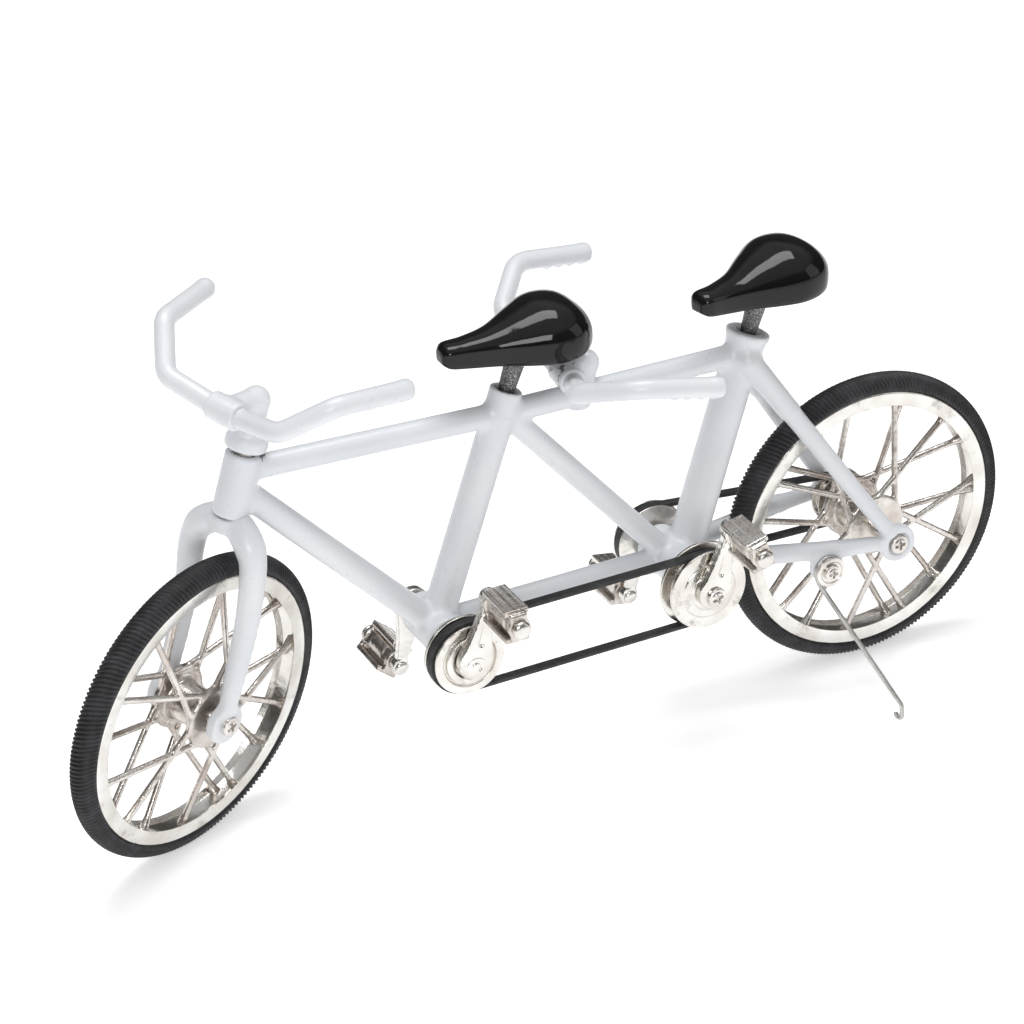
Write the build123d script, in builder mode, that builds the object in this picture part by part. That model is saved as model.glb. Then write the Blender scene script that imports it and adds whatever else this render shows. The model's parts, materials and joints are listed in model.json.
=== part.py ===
"""Miniature tandem bicycle: a die-cast desk model with two saddles, belt drive and a wire kickstand.

Millimetres. +X points to the front, +Y to the rider's left, +Z up. The origin lies on the ground under
the rear axle, in the plane of the rear wheel. The steering stands turned to the left.
"""
from build123d import *
from math import atan2, cos, degrees, hypot, radians, sin, sqrt
import os

os.makedirs("parts", exist_ok=True)

# ---------------------------------------------------------------- driving dimensions
tyre_radius = 30.0            # outside of both tyres
wheelbase = 138.6             # rear axle to front axle, steering straight
rim_radius = 26.9             # outside of the rim, where the tyre begins
rim_depth = 3.0               # from the rim's outside to its inner face
rim_width = 4.6
tyre_width = 5.4
hub_flange_radius = 6.2
hub_flange_offset = 4.3       # mid-plane to the middle of a spoke flange
hub_flange_thickness = 1.4
hub_barrel_radius = 3.8
spoke_radius = 0.62
axle_radius = 1.0             # both wheel axles
screw_head_radius = 1.95
screw_head_height = 1.1
screw_shank_radius = 0.6

bracket_height = 32.8         # both crank axles above the ground
front_bracket_x = 91.3
rear_bracket_x = 42.0
bracket_radius = 4.3
bracket_half_width = 6.0
crank_axle_radius = 1.3
crank_length = 13.5
left_crank_angle = 105.0      # left arms, from +X towards +Z; the right arms are opposite

head_top = (125.9, 78.2)      # head tube ends in the XZ plane
head_bottom = (129.5, 67.0)
head_tube_radius = 3.3
steerer_radius = 1.8
steering_turn = 24.9          # rest position, to the left

top_tube_radius = 2.2
down_tube_radius = 2.5
boom_radius = 2.3
diagonal_radius = 2.2
front_seat_tube_radius = 3.05
rear_seat_tube_radius = 3.5
seat_post_radius = 1.55

handlebar_radius = 1.85
belt_thickness = 0.8
belt_width = 1.8
timing_belt_y = 12.5          # mid-plane of the belt between the two cranksets
timing_pulley_radius = 6.4    # floor of the belt groove
drive_belt_y = -8.35          # mid-plane of the belt to the rear hub
drive_pulley_radius = 6.3
hub_pulley_radius = 4.6

dropout_inner = 11.2          # mid-plane to the inner face of a rear dropout
dropout_thickness = 2.2
dropout_radius = 3.7
fork_tip_inner = 6.3
fork_tip_thickness = 2.0
fork_tip_radius = 3.9

left_arm_y = 15.0             # inner faces of the crank arms
front_right_arm_y = -9.0
rear_right_arm_y = -10.5
arm_thickness = 1.8

running_fit = 0.05            # radial clearance of turning shafts
running_gap = 0.3             # end clearance of turning pieces
seated_fit = 0.02             # radial clearance of seated pieces
groove_fit = 0.15             # belt sides to pulley flanges

# ---------------------------------------------------------------- helpers


def bar(start, end, radius, end_radius=None, mode=Mode.ADD):
    """Round bar from start to end, tapering to end_radius if that is given."""
    start, end = Vector(start), Vector(end)
    along = Plane(origin=start, z_dir=end - start)
    length = (end - start).length
    with Locations(along):
        if end_radius is None:
            Cylinder(radius, length, align=(Align.CENTER, Align.CENTER, Align.MIN), mode=mode)
        else:
            Cone(radius, end_radius, length, align=(Align.CENTER, Align.CENTER, Align.MIN), mode=mode)


def across(x, z, y_from, y_to, radius, mode=Mode.ADD):
    """Round bar parallel to Y."""
    bar((x, y_from, z), (x, y_to, z), radius, mode=mode)


def side(y, x=0.0, z=0.0):
    """Plane facing +Y at (x, z): its X runs backwards, its Y up."""
    return Plane(origin=(x, y, z), x_dir=(-1, 0, 0), z_dir=(0, 1, 0))


def finish(builder, name):
    builder.part.label = name
    export_step(builder.part, f"parts/{name}.step")


# ---------------------------------------------------------------- steering position
head_axis = Vector(head_top[0] - head_bottom[0], 0, head_top[1] - head_bottom[1]).normalized()
head_length = hypot(head_top[0] - head_bottom[0], head_top[1] - head_bottom[1])
head_angle = degrees(atan2(head_top[1] - head_bottom[1], head_bottom[0] - head_top[0]))
head_plane = Plane(origin=(head_bottom[0], 0, head_bottom[1]), x_dir=(0, 1, 0), z_dir=head_axis)
turn = head_plane.location * Location((0, 0, 0), (0, 0, steering_turn)) * head_plane.location.inverse()


def turned(plane):
    """A plane of the straight steering, carried round with the steering."""
    return Plane(turn * plane.location)


def turned_point(x, y, z):
    return (turn * Location((x, y, z))).position


def front_axle_drop():
    """How much lower the front axle sits so that the leaning front wheel touches the ground."""
    lean = cos(radians(head_angle)) * sin(radians(steering_turn))
    crown = tyre_width / 2
    reach = (tyre_radius - crown) * sqrt(1 - lean**2) + crown
    return turned_point(wheelbase, 0, tyre_radius).Z - reach


front_axle = (wheelbase, tyre_radius - front_axle_drop())
rear_axle = (0.0, tyre_radius)
front_bracket = (front_bracket_x, bracket_height)
rear_bracket = (rear_bracket_x, bracket_height)


def seat_tube_point(top, foot, z):
    share = (z - foot[1]) / (top[1] - foot[1])
    return (foot[0] + share * (top[0] - foot[0]), 0, z)


front_seat_top = (75.0, 77.3)
front_seat_foot = (front_bracket_x + 0.2, bracket_height)
rear_seat_top = (25.2, 76.2)
rear_seat_foot = (rear_bracket_x - 2.4, bracket_height)
socket_depth = 12.0
top_tube_front_height = 74.9
top_tube_height = 72.3

# ================================================================ frame casting, tube by tube
with BuildPart() as head_tube:
    bar((head_bottom[0], 0, head_bottom[1]), (head_top[0], 0, head_top[1]), head_tube_radius)
    bar((head_bottom[0], 0, head_bottom[1]), (head_top[0], 0, head_top[1]),
        steerer_radius + running_fit, mode=Mode.SUBTRACT)
finish(head_tube, "head_tube")


def head_tube_space(mode=Mode.SUBTRACT):
    bar((head_bottom[0], 0, head_bottom[1]), (head_top[0], 0, head_top[1]), head_tube_radius, mode=mode)


def front_seat_tube_space(mode=Mode.SUBTRACT):
    bar((front_seat_foot[0], 0, front_seat_foot[1]), (front_seat_top[0], 0, front_seat_top[1]),
        front_seat_tube_radius, mode=mode)


def rear_seat_tube_space(mode=Mode.SUBTRACT):
    bar((rear_seat_foot[0], 0, rear_seat_foot[1]), (rear_seat_top[0], 0, rear_seat_top[1]),
        rear_seat_tube_radius, mode=mode)


def bracket_space(centre):
    across(*centre, -bracket_half_width, bracket_half_width, bracket_radius, mode=Mode.SUBTRACT)


def boom_space(mode=Mode.SUBTRACT):
    bar((rear_bracket_x, 0, bracket_height + 0.5), (front_bracket_x, 0, bracket_height + 0.5),
        boom_radius, mode=mode)


for bracket_name, centre in (("front_bracket", front_bracket), ("rear_bracket", rear_bracket)):
    with BuildPart() as bracket:
        across(*centre, -bracket_half_width, bracket_half_width, bracket_radius)
        across(*centre, -bracket_half_width, bracket_half_width, crank_axle_radius + running_fit,
               mode=Mode.SUBTRACT)
        bracket_rims = bracket.edges().filter_by(GeomType.CIRCLE).sort_by(SortBy.RADIUS)[-2:]
        chamfer(bracket_rims, 0.4)
    finish(bracket, bracket_name)

with BuildPart() as front_seat_tube:
    front_seat_tube_space(mode=Mode.ADD)
    socket_floor = front_seat_top[1] - socket_depth
    bar(seat_tube_point(front_seat_top, front_seat_foot, socket_floor),
        (front_seat_top[0], 0, front_seat_top[1]), seat_post_radius + running_fit, mode=Mode.SUBTRACT)
    fillet(front_seat_tube.edges().group_by(Axis.Z)[-1], 0.4)
    bracket_space(front_bracket)
finish(front_seat_tube, "front_seat_tube")

collar_radius = rear_seat_tube_radius + 0.7
with BuildPart() as rear_seat_tube:
    rear_seat_tube_space(mode=Mode.ADD)
    bar(seat_tube_point(rear_seat_top, rear_seat_foot, rear_seat_top[1] - 3.6),
        seat_tube_point(rear_seat_top, rear_seat_foot, rear_seat_top[1] - 1.2),
        rear_seat_tube_radius, collar_radius)
    bar(seat_tube_point(rear_seat_top, rear_seat_foot, rear_seat_top[1] - 1.2),
        (rear_seat_top[0], 0, rear_seat_top[1]), collar_radius)
    socket_floor = rear_seat_top[1] - socket_depth
    bar(seat_tube_point(rear_seat_top, rear_seat_foot, socket_floor),
        (rear_seat_top[0], 0, rear_seat_top[1]), seat_post_radius + running_fit, mode=Mode.SUBTRACT)
    bracket_space(rear_bracket)
finish(rear_seat_tube, "rear_seat_tube")

with BuildPart() as top_tube_front:
    bar((head_bottom[0] - 2.6, 0, top_tube_front_height),
        seat_tube_point(front_seat_top, front_seat_foot, top_tube_height + 0.3), top_tube_radius)
    head_tube_space()
    front_seat_tube_space()
finish(top_tube_front, "top_tube_front")


def top_tube_rear_space(mode=Mode.SUBTRACT):
    bar(seat_tube_point(front_seat_top, front_seat_foot, top_tube_height + 0.3),
        seat_tube_point(rear_seat_top, rear_seat_foot, top_tube_height - 0.4), top_tube_radius, mode=mode)


with BuildPart() as top_tube_rear:
    top_tube_rear_space(mode=Mode.ADD)
    front_seat_tube_space()
    rear_seat_tube_space()
    add(rear_seat_tube.part, mode=Mode.SUBTRACT)
finish(top_tube_rear, "top_tube_rear")

down_tube_start = (head_bottom[0] - 2.0, 0, head_bottom[1] + 4.2)
with BuildPart() as down_tube:
    bar(down_tube_start, (front_bracket[0], 0, front_bracket[1]), down_tube_radius)
    head_tube_space()
    front_seat_tube_space()
    bracket_space(front_bracket)
finish(down_tube, "down_tube")

with BuildPart() as boom_tube:
    boom_space(mode=Mode.ADD)
    front_seat_tube_space()
    rear_seat_tube_space()
    bracket_space(front_bracket)
    bracket_space(rear_bracket)
finish(boom_tube, "boom_tube")

diagonal_height = 73.5        # where its centre line meets the front seat tube's
with BuildPart() as diagonal_tube:
    bar((rear_bracket[0], 0, rear_bracket[1] - 0.3),
        seat_tube_point(front_seat_top, front_seat_foot, diagonal_height), diagonal_radius)
    front_seat_tube_space()
    rear_seat_tube_space()
    top_tube_rear_space()
    boom_space()
    bracket_space(rear_bracket)
finish(diagonal_tube, "diagonal_tube")

# ---- rear stays, one pair on each side
chain_stay_radius = 1.75
stay_bend_x = 12.5
dropout_middle = dropout_inner + dropout_thickness / 2
lug_x, lug_z = 15.3, 28.6
lug_outer = 11.9
lug_thickness = 1.6
lug_radius = 2.9

for hand, name in ((1, "left"), (-1, "right")):
    with BuildPart() as chain_stay:
        bend = (stay_bend_x, hand * 10.4, bracket_height - 1.8)
        bar((rear_bracket_x - 4.5, hand * 3.6, bracket_height - 0.2), bend, chain_stay_radius + 0.2,
            chain_stay_radius)
        with Locations(bend):
            Sphere(chain_stay_radius)
        bar(bend, (1.0, hand * dropout_middle, tyre_radius + 0.3), chain_stay_radius, 1.2)
        across(*rear_axle, hand * dropout_inner, hand * (dropout_inner + dropout_thickness), dropout_radius)
        if hand == 1:
            across(lug_x, lug_z, lug_outer - lug_thickness, lug_outer, lug_radius)
            across(lug_x, lug_z, lug_outer - lug_thickness - 1, lug_outer + 1, screw_shank_radius,
                   mode=Mode.SUBTRACT)
        # inner side of the dropout is flat, so the stay stops level with it near the axle
        with BuildSketch(side(hand * dropout_inner, *rear_axle)):
            Circle(dropout_radius + 4.0)
        extrude(amount=-hand * 4, mode=Mode.SUBTRACT)
        across(*rear_axle, hand * (dropout_inner - 1), hand * (dropout_inner + dropout_thickness + 1),
               axle_radius + seated_fit, mode=Mode.SUBTRACT)
        across(*rear_axle, hand * (dropout_inner + dropout_thickness - 0.6),
               hand * (dropout_inner + dropout_thickness + 2), screw_head_radius + 0.35, mode=Mode.SUBTRACT)
        rear_seat_tube_space()
        bracket_space(rear_bracket)
    finish(chain_stay, f"chain_stay_{name}")

    with BuildPart() as seat_stay:
        root = (26.4, hand * 3.1, 70.8)
        step = (19.8, hand * 5.5, 60.6)
        bar(root, step, 2.3, 2.15)
        with Locations(step):
            Sphere(2.15)
        bar(step, (0.6, hand * dropout_middle, tyre_radius + 1.2), 1.95, 1.5)
        rear_seat_tube_space()
        across(*rear_axle, hand * (dropout_inner - 3), hand * (dropout_inner + dropout_thickness + 3),
               dropout_radius, mode=Mode.SUBTRACT)
        add(chain_stay.part, mode=Mode.SUBTRACT)
    finish(seat_stay, f"seat_stay_{name}")


# ================================================================ screws and axles
def pan_head(face_y, hand, x, z, radius, height, recess=True):
    """Pan head seated on a face that looks along hand * Y, with a cross recess."""
    along = Plane(origin=(x, face_y, z), x_dir=(1, 0, 0), z_dir=(0, hand, 0))
    with Locations(along):
        Cylinder(radius, height, align=(Align.CENTER, Align.CENTER, Align.MIN))
    top = Plane(origin=(x, face_y + hand * height, z), x_dir=(1, 0, 0), z_dir=(0, hand, 0))
    if recess:
        with BuildSketch(top) as cross:
            Rectangle(radius * 1.15, radius * 0.3)
            Rectangle(radius * 0.3, radius * 1.15)
        extrude(cross.sketch, amount=-height * 0.55, mode=Mode.SUBTRACT)


with BuildPart() as rear_axle_rod:
    rear_axle_end = dropout_inner + dropout_thickness - 0.6
    across(*rear_axle, -rear_axle_end, rear_axle_end, axle_radius)
    for hand in (1, -1):
        across(*rear_axle, hand * (rear_axle_end - 4), hand * rear_axle_end, screw_shank_radius,
               mode=Mode.SUBTRACT)
finish(rear_axle_rod, "rear_axle")

with BuildPart() as rear_axle_screws:
    for hand in (1, -1):
        pan_head(hand * rear_axle_end, hand, *rear_axle, screw_head_radius, screw_head_height)
        across(*rear_axle, hand * (rear_axle_end - 4), hand * rear_axle_end, screw_shank_radius)
finish(rear_axle_screws, "rear_axle_screws")


# ================================================================ wheels
class Wheel:
    """Where a wheel stands: its centre plane, whose Z is the axle, pointing left."""

    def __init__(self, name, plane):
        self.name = name
        self.plane = plane

    def at(self, offset):
        return self.plane.offset(offset)


rear_wheel = Wheel("rear", side(0, *rear_axle))
front_wheel = Wheel("front", turned(side(0, *front_axle)))

rim_inner = rim_radius - rim_depth
groove_half = rim_width / 2 - 0.6
groove_floor = rim_radius - 1.1
spoke_count = 5
# rim end and hub root of the spokes in one fifth of the wheel: flange side, end angle, lean of the root
spoke_pattern = ((1, 44.0, 40.0), (1, 3.5, -40.0), (-1, 24.0, 40.0), (-1, -3.5, -40.0))

for wheel in (rear_wheel, front_wheel):
    # profiles lie in a plane through the axle: X is the radius, Y the distance along the axle
    section = Plane(origin=wheel.plane.origin, x_dir=wheel.plane.y_dir, z_dir=-wheel.plane.x_dir)
    spin = Axis(wheel.plane.origin, wheel.plane.z_dir)

    with BuildPart() as rim:
        with BuildSketch(section):
            with BuildLine():
                Polyline((rim_inner, rim_width / 2), (rim_radius, rim_width / 2),
                         (rim_radius, groove_half), (groove_floor, groove_half),
                         (groove_floor, -groove_half), (rim_radius, -groove_half),
                         (rim_radius, -rim_width / 2), (rim_inner, -rim_width / 2),
                         (rim_inner + 0.8, -rim_width / 2 + 1.0), (rim_inner + 0.8, rim_width / 2 - 1.0),
                         close=True)
            make_face()
        revolve(axis=spin)
    finish(rim, f"{wheel.name}_rim")

    with BuildPart() as tyre:
        with BuildSketch(section):
            with BuildLine():
                foot = groove_half - seated_fit
                Polyline((rim_radius + seated_fit, -tyre_width / 2 + 0.25), (rim_radius + seated_fit, -foot),
                         (groove_floor + seated_fit, -foot), (groove_floor + seated_fit, foot),
                         (rim_radius + seated_fit, foot), (rim_radius + seated_fit, tyre_width / 2 - 0.25))
                ThreePointArc((rim_radius + seated_fit, tyre_width / 2 - 0.25), (tyre_radius, 0),
                              (rim_radius + seated_fit, -tyre_width / 2 + 0.25))
            make_face()
        revolve(axis=spin)
    finish(tyre, f"{wheel.name}_tyre")

    with BuildPart() as hub:
        with BuildSketch(wheel.at(-hub_flange_offset)):
            Circle(hub_barrel_radius)
        extrude(amount=2 * hub_flange_offset)
        for offset in (-hub_flange_offset, hub_flange_offset):
            with BuildSketch(wheel.at(offset - hub_flange_thickness / 2)):
                Circle(hub_flange_radius)
            extrude(amount=hub_flange_thickness)
        reach = (dropout_inner if wheel is rear_wheel else fork_tip_inner) - running_gap
        with BuildSketch(wheel.at(-reach)):
            Circle(axle_radius + 0.9)
        extrude(amount=2 * reach)
        with BuildSketch(wheel.at(-reach)):
            Circle(axle_radius + running_fit)
        extrude(amount=2 * reach, mode=Mode.SUBTRACT)
    finish(hub, f"{wheel.name}_hub")

    with BuildPart() as spokes:
        for fifth in range(spoke_count):
            for flange_side, end_angle, lean in spoke_pattern:
                end = radians(end_angle + fifth * 360 / spoke_count)
                root = end + radians(lean)
                root_radius = hub_flange_radius - spoke_radius
                start_point = wheel.plane.from_local_coords(
                    Vector(root_radius * cos(root), root_radius * sin(root), flange_side * hub_flange_offset))
                end_point = wheel.plane.from_local_coords(
                    Vector((rim_inner + 1.2) * cos(end), (rim_inner + 1.2) * sin(end), flange_side * 0.75))
                bar(start_point, end_point, spoke_radius)
        add(rim.part, mode=Mode.SUBTRACT)
        add(hub.part, mode=Mode.SUBTRACT)
    finish(spokes, f"{wheel.name}_spokes")


# ================================================================ belts and pulleys
def grooved_disc(x, z, middle, floor_radius, inner_face, outer_face, flange_radii):
    """Pulley body along Y, from inner_face to outer_face, with its groove round middle."""
    half_groove = belt_width / 2 + groove_fit
    across(x, z, inner_face, middle - half_groove, flange_radii[0])
    across(x, z, middle - half_groove, middle + half_groove, floor_radius)
    across(x, z, middle + half_groove, outer_face, flange_radii[1])


def belt(name, y, start, start_radius, end, end_radius):
    """Closed taut belt round two pulleys, in the XZ plane at y."""
    distance = hypot(end[0] - start[0], end[1] - start[1])
    heading = degrees(atan2(end[1] - start[1], end[0] - start[0]))
    flare = degrees(atan2(start_radius - end_radius, sqrt(distance**2 - (start_radius - end_radius) ** 2)))
    with BuildPart() as loop:
        for clearance, mode in ((belt_thickness + groove_fit, Mode.ADD), (groove_fit, Mode.SUBTRACT)):
            with BuildSketch(Plane(origin=(0, y + belt_width / 2, 0), x_dir=(1, 0, 0), z_dir=(0, -1, 0))):
                with BuildLine():
                    near, far = start_radius + clearance, end_radius + clearance
                    points = []
                    for centre, radius in ((start, near), (end, far)):
                        for sense in (1, -1):
                            angle = radians(heading + sense * (90 - flare))
                            points.append((centre[0] + radius * cos(angle), centre[1] + radius * sin(angle)))
                    behind = (start[0] - near * cos(radians(heading)), start[1] - near * sin(radians(heading)))
                    beyond = (end[0] + far * cos(radians(heading)), end[1] + far * sin(radians(heading)))
                    Line(points[0], points[2])
                    ThreePointArc(points[2], beyond, points[3])
                    Line(points[3], points[1])
                    ThreePointArc(points[1], behind, points[0])
                make_face()
            extrude(amount=belt_width, mode=mode)
    finish(loop, name)


flange = 0.75
groove_half_width = belt_width / 2 + groove_fit
timing_inner = timing_belt_y - groove_half_width - flange
timing_outer = timing_belt_y + groove_half_width + flange
for name, centre, radii in (("front_timing_pulley", front_bracket, (7.6, 6.9)),
                            ("rear_timing_pulley", rear_bracket, (8.6, 7.9))):
    with BuildPart() as timing:
        grooved_disc(*centre, timing_belt_y, timing_pulley_radius, timing_inner, timing_outer, radii)
        # raised ring on the outer face, and the neck towards the bracket
        across(*centre, timing_outer, timing_outer + 0.35, 4.3)
        across(*centre, bracket_half_width + running_gap, timing_inner, 3.0)
        across(*centre, bracket_half_width, timing_outer + 1, crank_axle_radius + seated_fit,
               mode=Mode.SUBTRACT)
    finish(timing, name)
belt("timing_belt", timing_belt_y, rear_bracket, timing_pulley_radius, front_bracket, timing_pulley_radius)

drive_inner = drive_belt_y + groove_half_width + 0.3
drive_outer = drive_belt_y - groove_half_width - 0.3
with BuildPart() as drive:
    grooved_disc(*rear_bracket, drive_belt_y, drive_pulley_radius, drive_outer, drive_inner, (7.4, 7.4))
    across(*rear_bracket, drive_inner, -bracket_half_width - running_gap, 3.0)
    across(*rear_bracket, drive_outer - 1, -bracket_half_width, crank_axle_radius + seated_fit,
           mode=Mode.SUBTRACT)
finish(drive, "rear_drive_pulley")

sleeve_radius = axle_radius + 0.9
with BuildPart() as hub_pulley:
    grooved_disc(*rear_axle, drive_belt_y, hub_pulley_radius, drive_outer, drive_inner, (5.7, 5.7))
    across(*rear_axle, drive_inner, -hub_flange_offset - hub_flange_thickness / 2, 3.2)
    across(*rear_axle, drive_outer - 1, 0, sleeve_radius + seated_fit, mode=Mode.SUBTRACT)
finish(hub_pulley, "rear_hub_pulley")
belt("drive_belt", drive_belt_y, rear_axle, hub_pulley_radius, rear_bracket, drive_pulley_radius)


# ================================================================ cranksets
def crank_arm(centre, inner_y, outer_y, angle):
    """Teardrop arm: a round boss on the axle and a smaller eye for the pedal pin."""
    hand = 1 if outer_y > inner_y else -1
    end = (centre[0] + crank_length * cos(radians(angle)), centre[1] + crank_length * sin(radians(angle)))
    with BuildPart() as arm:
        across(*centre, inner_y, outer_y, 2.7)
        across(*end, inner_y, outer_y, 1.75)
        with BuildSketch(Plane(origin=(0, inner_y, 0), x_dir=(1, 0, 0), z_dir=(0, -1, 0))):
            with BuildLine():
                out = Vector(cos(radians(angle)), sin(radians(angle)))
                sideways = Vector(-sin(radians(angle)), cos(radians(angle)))
                hub_centre, eye = Vector(*centre), Vector(*end)
                Polyline(hub_centre + sideways * 2.68, eye + sideways * 1.0, eye - sideways * 1.0,
                         hub_centre - sideways * 2.68, close=True)
            make_face()
        extrude(amount=-hand * abs(outer_y - inner_y))
        across(*centre, inner_y - hand, outer_y + hand, crank_axle_radius + seated_fit, mode=Mode.SUBTRACT)
        across(*end, inner_y - hand, outer_y + hand, pin_radius + seated_fit, mode=Mode.SUBTRACT)
    return arm, end


pin_radius = 0.8
knob_radius = 1.75
pedal_length = 11.2
pedal_pins = {}
right_arm_y = {"front": front_right_arm_y, "rear": rear_right_arm_y}
for name, centre in (("front", front_bracket), ("rear", rear_bracket)):
    pin_spans = []
    for hand_name, inner_y, angle in (("left", left_arm_y, left_crank_angle),
                                      ("right", right_arm_y[name], left_crank_angle - 180)):
        hand = 1 if inner_y > 0 else -1
        outer_y = inner_y + hand * arm_thickness
        arm, eye = crank_arm(centre, inner_y, outer_y, angle)
        finish(arm, f"{name}_{hand_name}_crank")
        pedal_start = outer_y + hand * running_gap
        pedal_end = pedal_start + hand * pedal_length
        pin_spans.append((eye, inner_y, pedal_end + hand * running_gap, hand))
        pedal_pins[f"{name}_{hand_name}"] = (eye, pedal_start, pedal_end)

    with BuildPart() as pins:
        for eye, inner_y, pin_end, hand in pin_spans:
            across(*eye, inner_y - hand * 0.7, inner_y, 1.3)
            across(*eye, inner_y, pin_end, pin_radius)
            across(*eye, pin_end, pin_end + hand * 1.3, knob_radius)
    finish(pins, f"{name}_pedal_pins")

    with BuildPart() as axle:
        axle_left = left_arm_y + arm_thickness
        axle_right = right_arm_y[name] - arm_thickness
        across(*centre, axle_right, axle_left, crank_axle_radius)
        across(*centre, axle_left - 3, axle_left, screw_shank_radius, mode=Mode.SUBTRACT)
        if name == "front":
            across(*centre, right_arm_y[name], -bracket_half_width - running_gap, crank_axle_radius + 1.0)
    finish(axle, f"{name}_crank_axle")

    with BuildPart() as crank_screw:
        pan_head(axle_left, 1, *centre, screw_head_radius, screw_head_height)
        across(*centre, axle_left - 3, axle_left, screw_shank_radius)
    finish(crank_screw, f"{name}_crank_screw")

# ---- pedals: two tread plates on a barrel, an end plate at each side
pedal_tilt = {"front_left": 0, "front_right": 40, "rear_left": -15, "rear_right": 10}
tread_gap, tread_thickness, tread_width = 2.2, 1.1, 4.6
for name, (eye, pedal_start, pedal_end) in pedal_pins.items():
    hand = 1 if pedal_end > 0 else -1
    tilt = radians(pedal_tilt[name])
    base = Plane(origin=(eye[0], pedal_start, eye[1]), x_dir=(cos(tilt), 0, sin(tilt)), z_dir=(0, hand, 0))
    with BuildPart() as pedal:
        with BuildSketch(base):
            Circle(1.9)
        extrude(amount=pedal_length)
        for end_from in (0.0, pedal_length - 1.2):
            with BuildSketch(base.offset(end_from)):
                RectangleRounded(3.4, 2 * tread_gap + 1.0, 0.8)
            extrude(amount=1.2)
        for up in (1, -1):
            with BuildSketch(base.offset(1.2)):
                with Locations((0, up * (tread_gap + tread_thickness / 2))):
                    Rectangle(tread_width, tread_thickness)
                with Locations((0, up * tread_gap / 2 + up * 0.6)):
                    Rectangle(1.6, tread_gap - 1.2)
            extrude(amount=pedal_length - 2.4)
        with BuildSketch(base):
            Circle(pin_radius + running_fit)
        extrude(amount=pedal_length, mode=Mode.SUBTRACT)
    finish(pedal, f"{name}_pedal")

# ================================================================ steering, turned to the left
crown_height = 64.0
tip_middle = fork_tip_inner + fork_tip_thickness / 2
head_point = Vector(head_bottom[0], 0, head_bottom[1])
crown_centre = head_point - head_axis * 1.6
leg_points = [(crown_centre.X + 0.4, 3.0, crown_centre.Z - 0.2), (131.3, 7.0, 60.5), (132.6, 7.4, 50.0),
              (136.6, 7.3, 39.0), (front_axle[0] - 0.2, tip_middle, front_axle[1] + 1.5)]
leg_radii = [2.4, 2.35, 2.15, 1.9, 1.5]
steerer_top = head_length + 3.4

with BuildPart() as fork:
    base = turned_point(*(head_point - head_axis * running_gap))
    crown_low = turned_point(*(crown_centre - head_axis * 1.2))
    bar(crown_low, base, head_tube_radius)
    bar(base, turned_point(*(head_point + head_axis * steerer_top)), steerer_radius)
    for hand in (1, -1):
        for i in range(len(leg_points) - 1):
            (x0, y0, z0), (x1, y1, z1) = leg_points[i], leg_points[i + 1]
            bar(turned_point(x0, hand * y0, z0), turned_point(x1, hand * y1, z1), leg_radii[i], leg_radii[i + 1])
            with Locations(turned_point(x1, hand * y1, z1)):
                Sphere(leg_radii[i + 1])
        tip = turned(side(hand * fork_tip_inner, *front_axle))
        with BuildSketch(tip):
            Circle(fork_tip_radius)
        extrude(amount=hand * fork_tip_thickness)
        with BuildSketch(tip):
            Circle(fork_tip_radius + 1.5)
        extrude(amount=-hand * 1.5, mode=Mode.SUBTRACT)
        with BuildSketch(turned(side(hand * (fork_tip_inner + fork_tip_thickness), *front_axle))):
            Circle(fork_tip_radius + 1.5)
        extrude(amount=hand * 1.5, mode=Mode.SUBTRACT)
        with BuildSketch(turned(side(hand * (fork_tip_inner - 1), *front_axle))):
            Circle(axle_radius + seated_fit)
        extrude(amount=hand * (fork_tip_thickness + 2), mode=Mode.SUBTRACT)
finish(fork, "fork")


def turned_bar(y_from, y_to, x, z, radius, mode=Mode.ADD):
    bar(turned_point(x, y_from, z), turned_point(x, y_to, z), radius, mode=mode)


front_axle_end = fork_tip_inner + fork_tip_thickness
with BuildPart() as front_axle_rod:
    turned_bar(-front_axle_end, front_axle_end, *front_axle, axle_radius)
    for hand in (1, -1):
        turned_bar(hand * (front_axle_end - 4), hand * front_axle_end, *front_axle, screw_shank_radius,
                   mode=Mode.SUBTRACT)
finish(front_axle_rod, "front_axle")

with BuildPart() as front_axle_screws:
    for hand in (1, -1):
        turned_bar(hand * (front_axle_end - 4), hand * front_axle_end, *front_axle, screw_shank_radius)
        face = turned(side(hand * front_axle_end, *front_axle))
        with BuildSketch(face):
            Circle(screw_head_radius)
        extrude(amount=hand * screw_head_height)
        with BuildSketch(face.offset(hand * screw_head_height)):
            Rectangle(screw_head_radius * 1.15, screw_head_radius * 0.3)
            Rectangle(screw_head_radius * 0.3, screw_head_radius * 1.15)
        extrude(amount=-hand * screw_head_height * 0.55, mode=Mode.SUBTRACT)
finish(front_axle_screws, "front_axle_screws")

stem_clamp = (130.4, 89.0)
stem_elbow = head_point + head_axis * (head_length + 10.0)
clamp_radius = handlebar_radius + 0.7
clamp_half_width = 3.2
with BuildPart() as stem:
    collar_low = head_point + head_axis * (head_length + running_gap)
    collar_top = head_point + head_axis * (head_length + 4.2)
    bar(turned_point(*collar_low), turned_point(*collar_top), 3.75)
    bar(turned_point(*collar_top), turned_point(*stem_elbow), 2.6, 2.3)
    with Locations(turned_point(*stem_elbow)):
        Sphere(2.3)
    bar(turned_point(*stem_elbow), turned_point(stem_clamp[0], 0, stem_clamp[1]), 2.3)
    turned_bar(-clamp_half_width, clamp_half_width, *stem_clamp, clamp_radius)
    turned_bar(-clamp_half_width - 1, clamp_half_width + 1, *stem_clamp, handlebar_radius + seated_fit,
               mode=Mode.SUBTRACT)
    bar(turned_point(*(head_point + head_axis * (head_length - 1))),
        turned_point(*(head_point + head_axis * steerer_top)), steerer_radius + seated_fit, mode=Mode.SUBTRACT)
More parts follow.
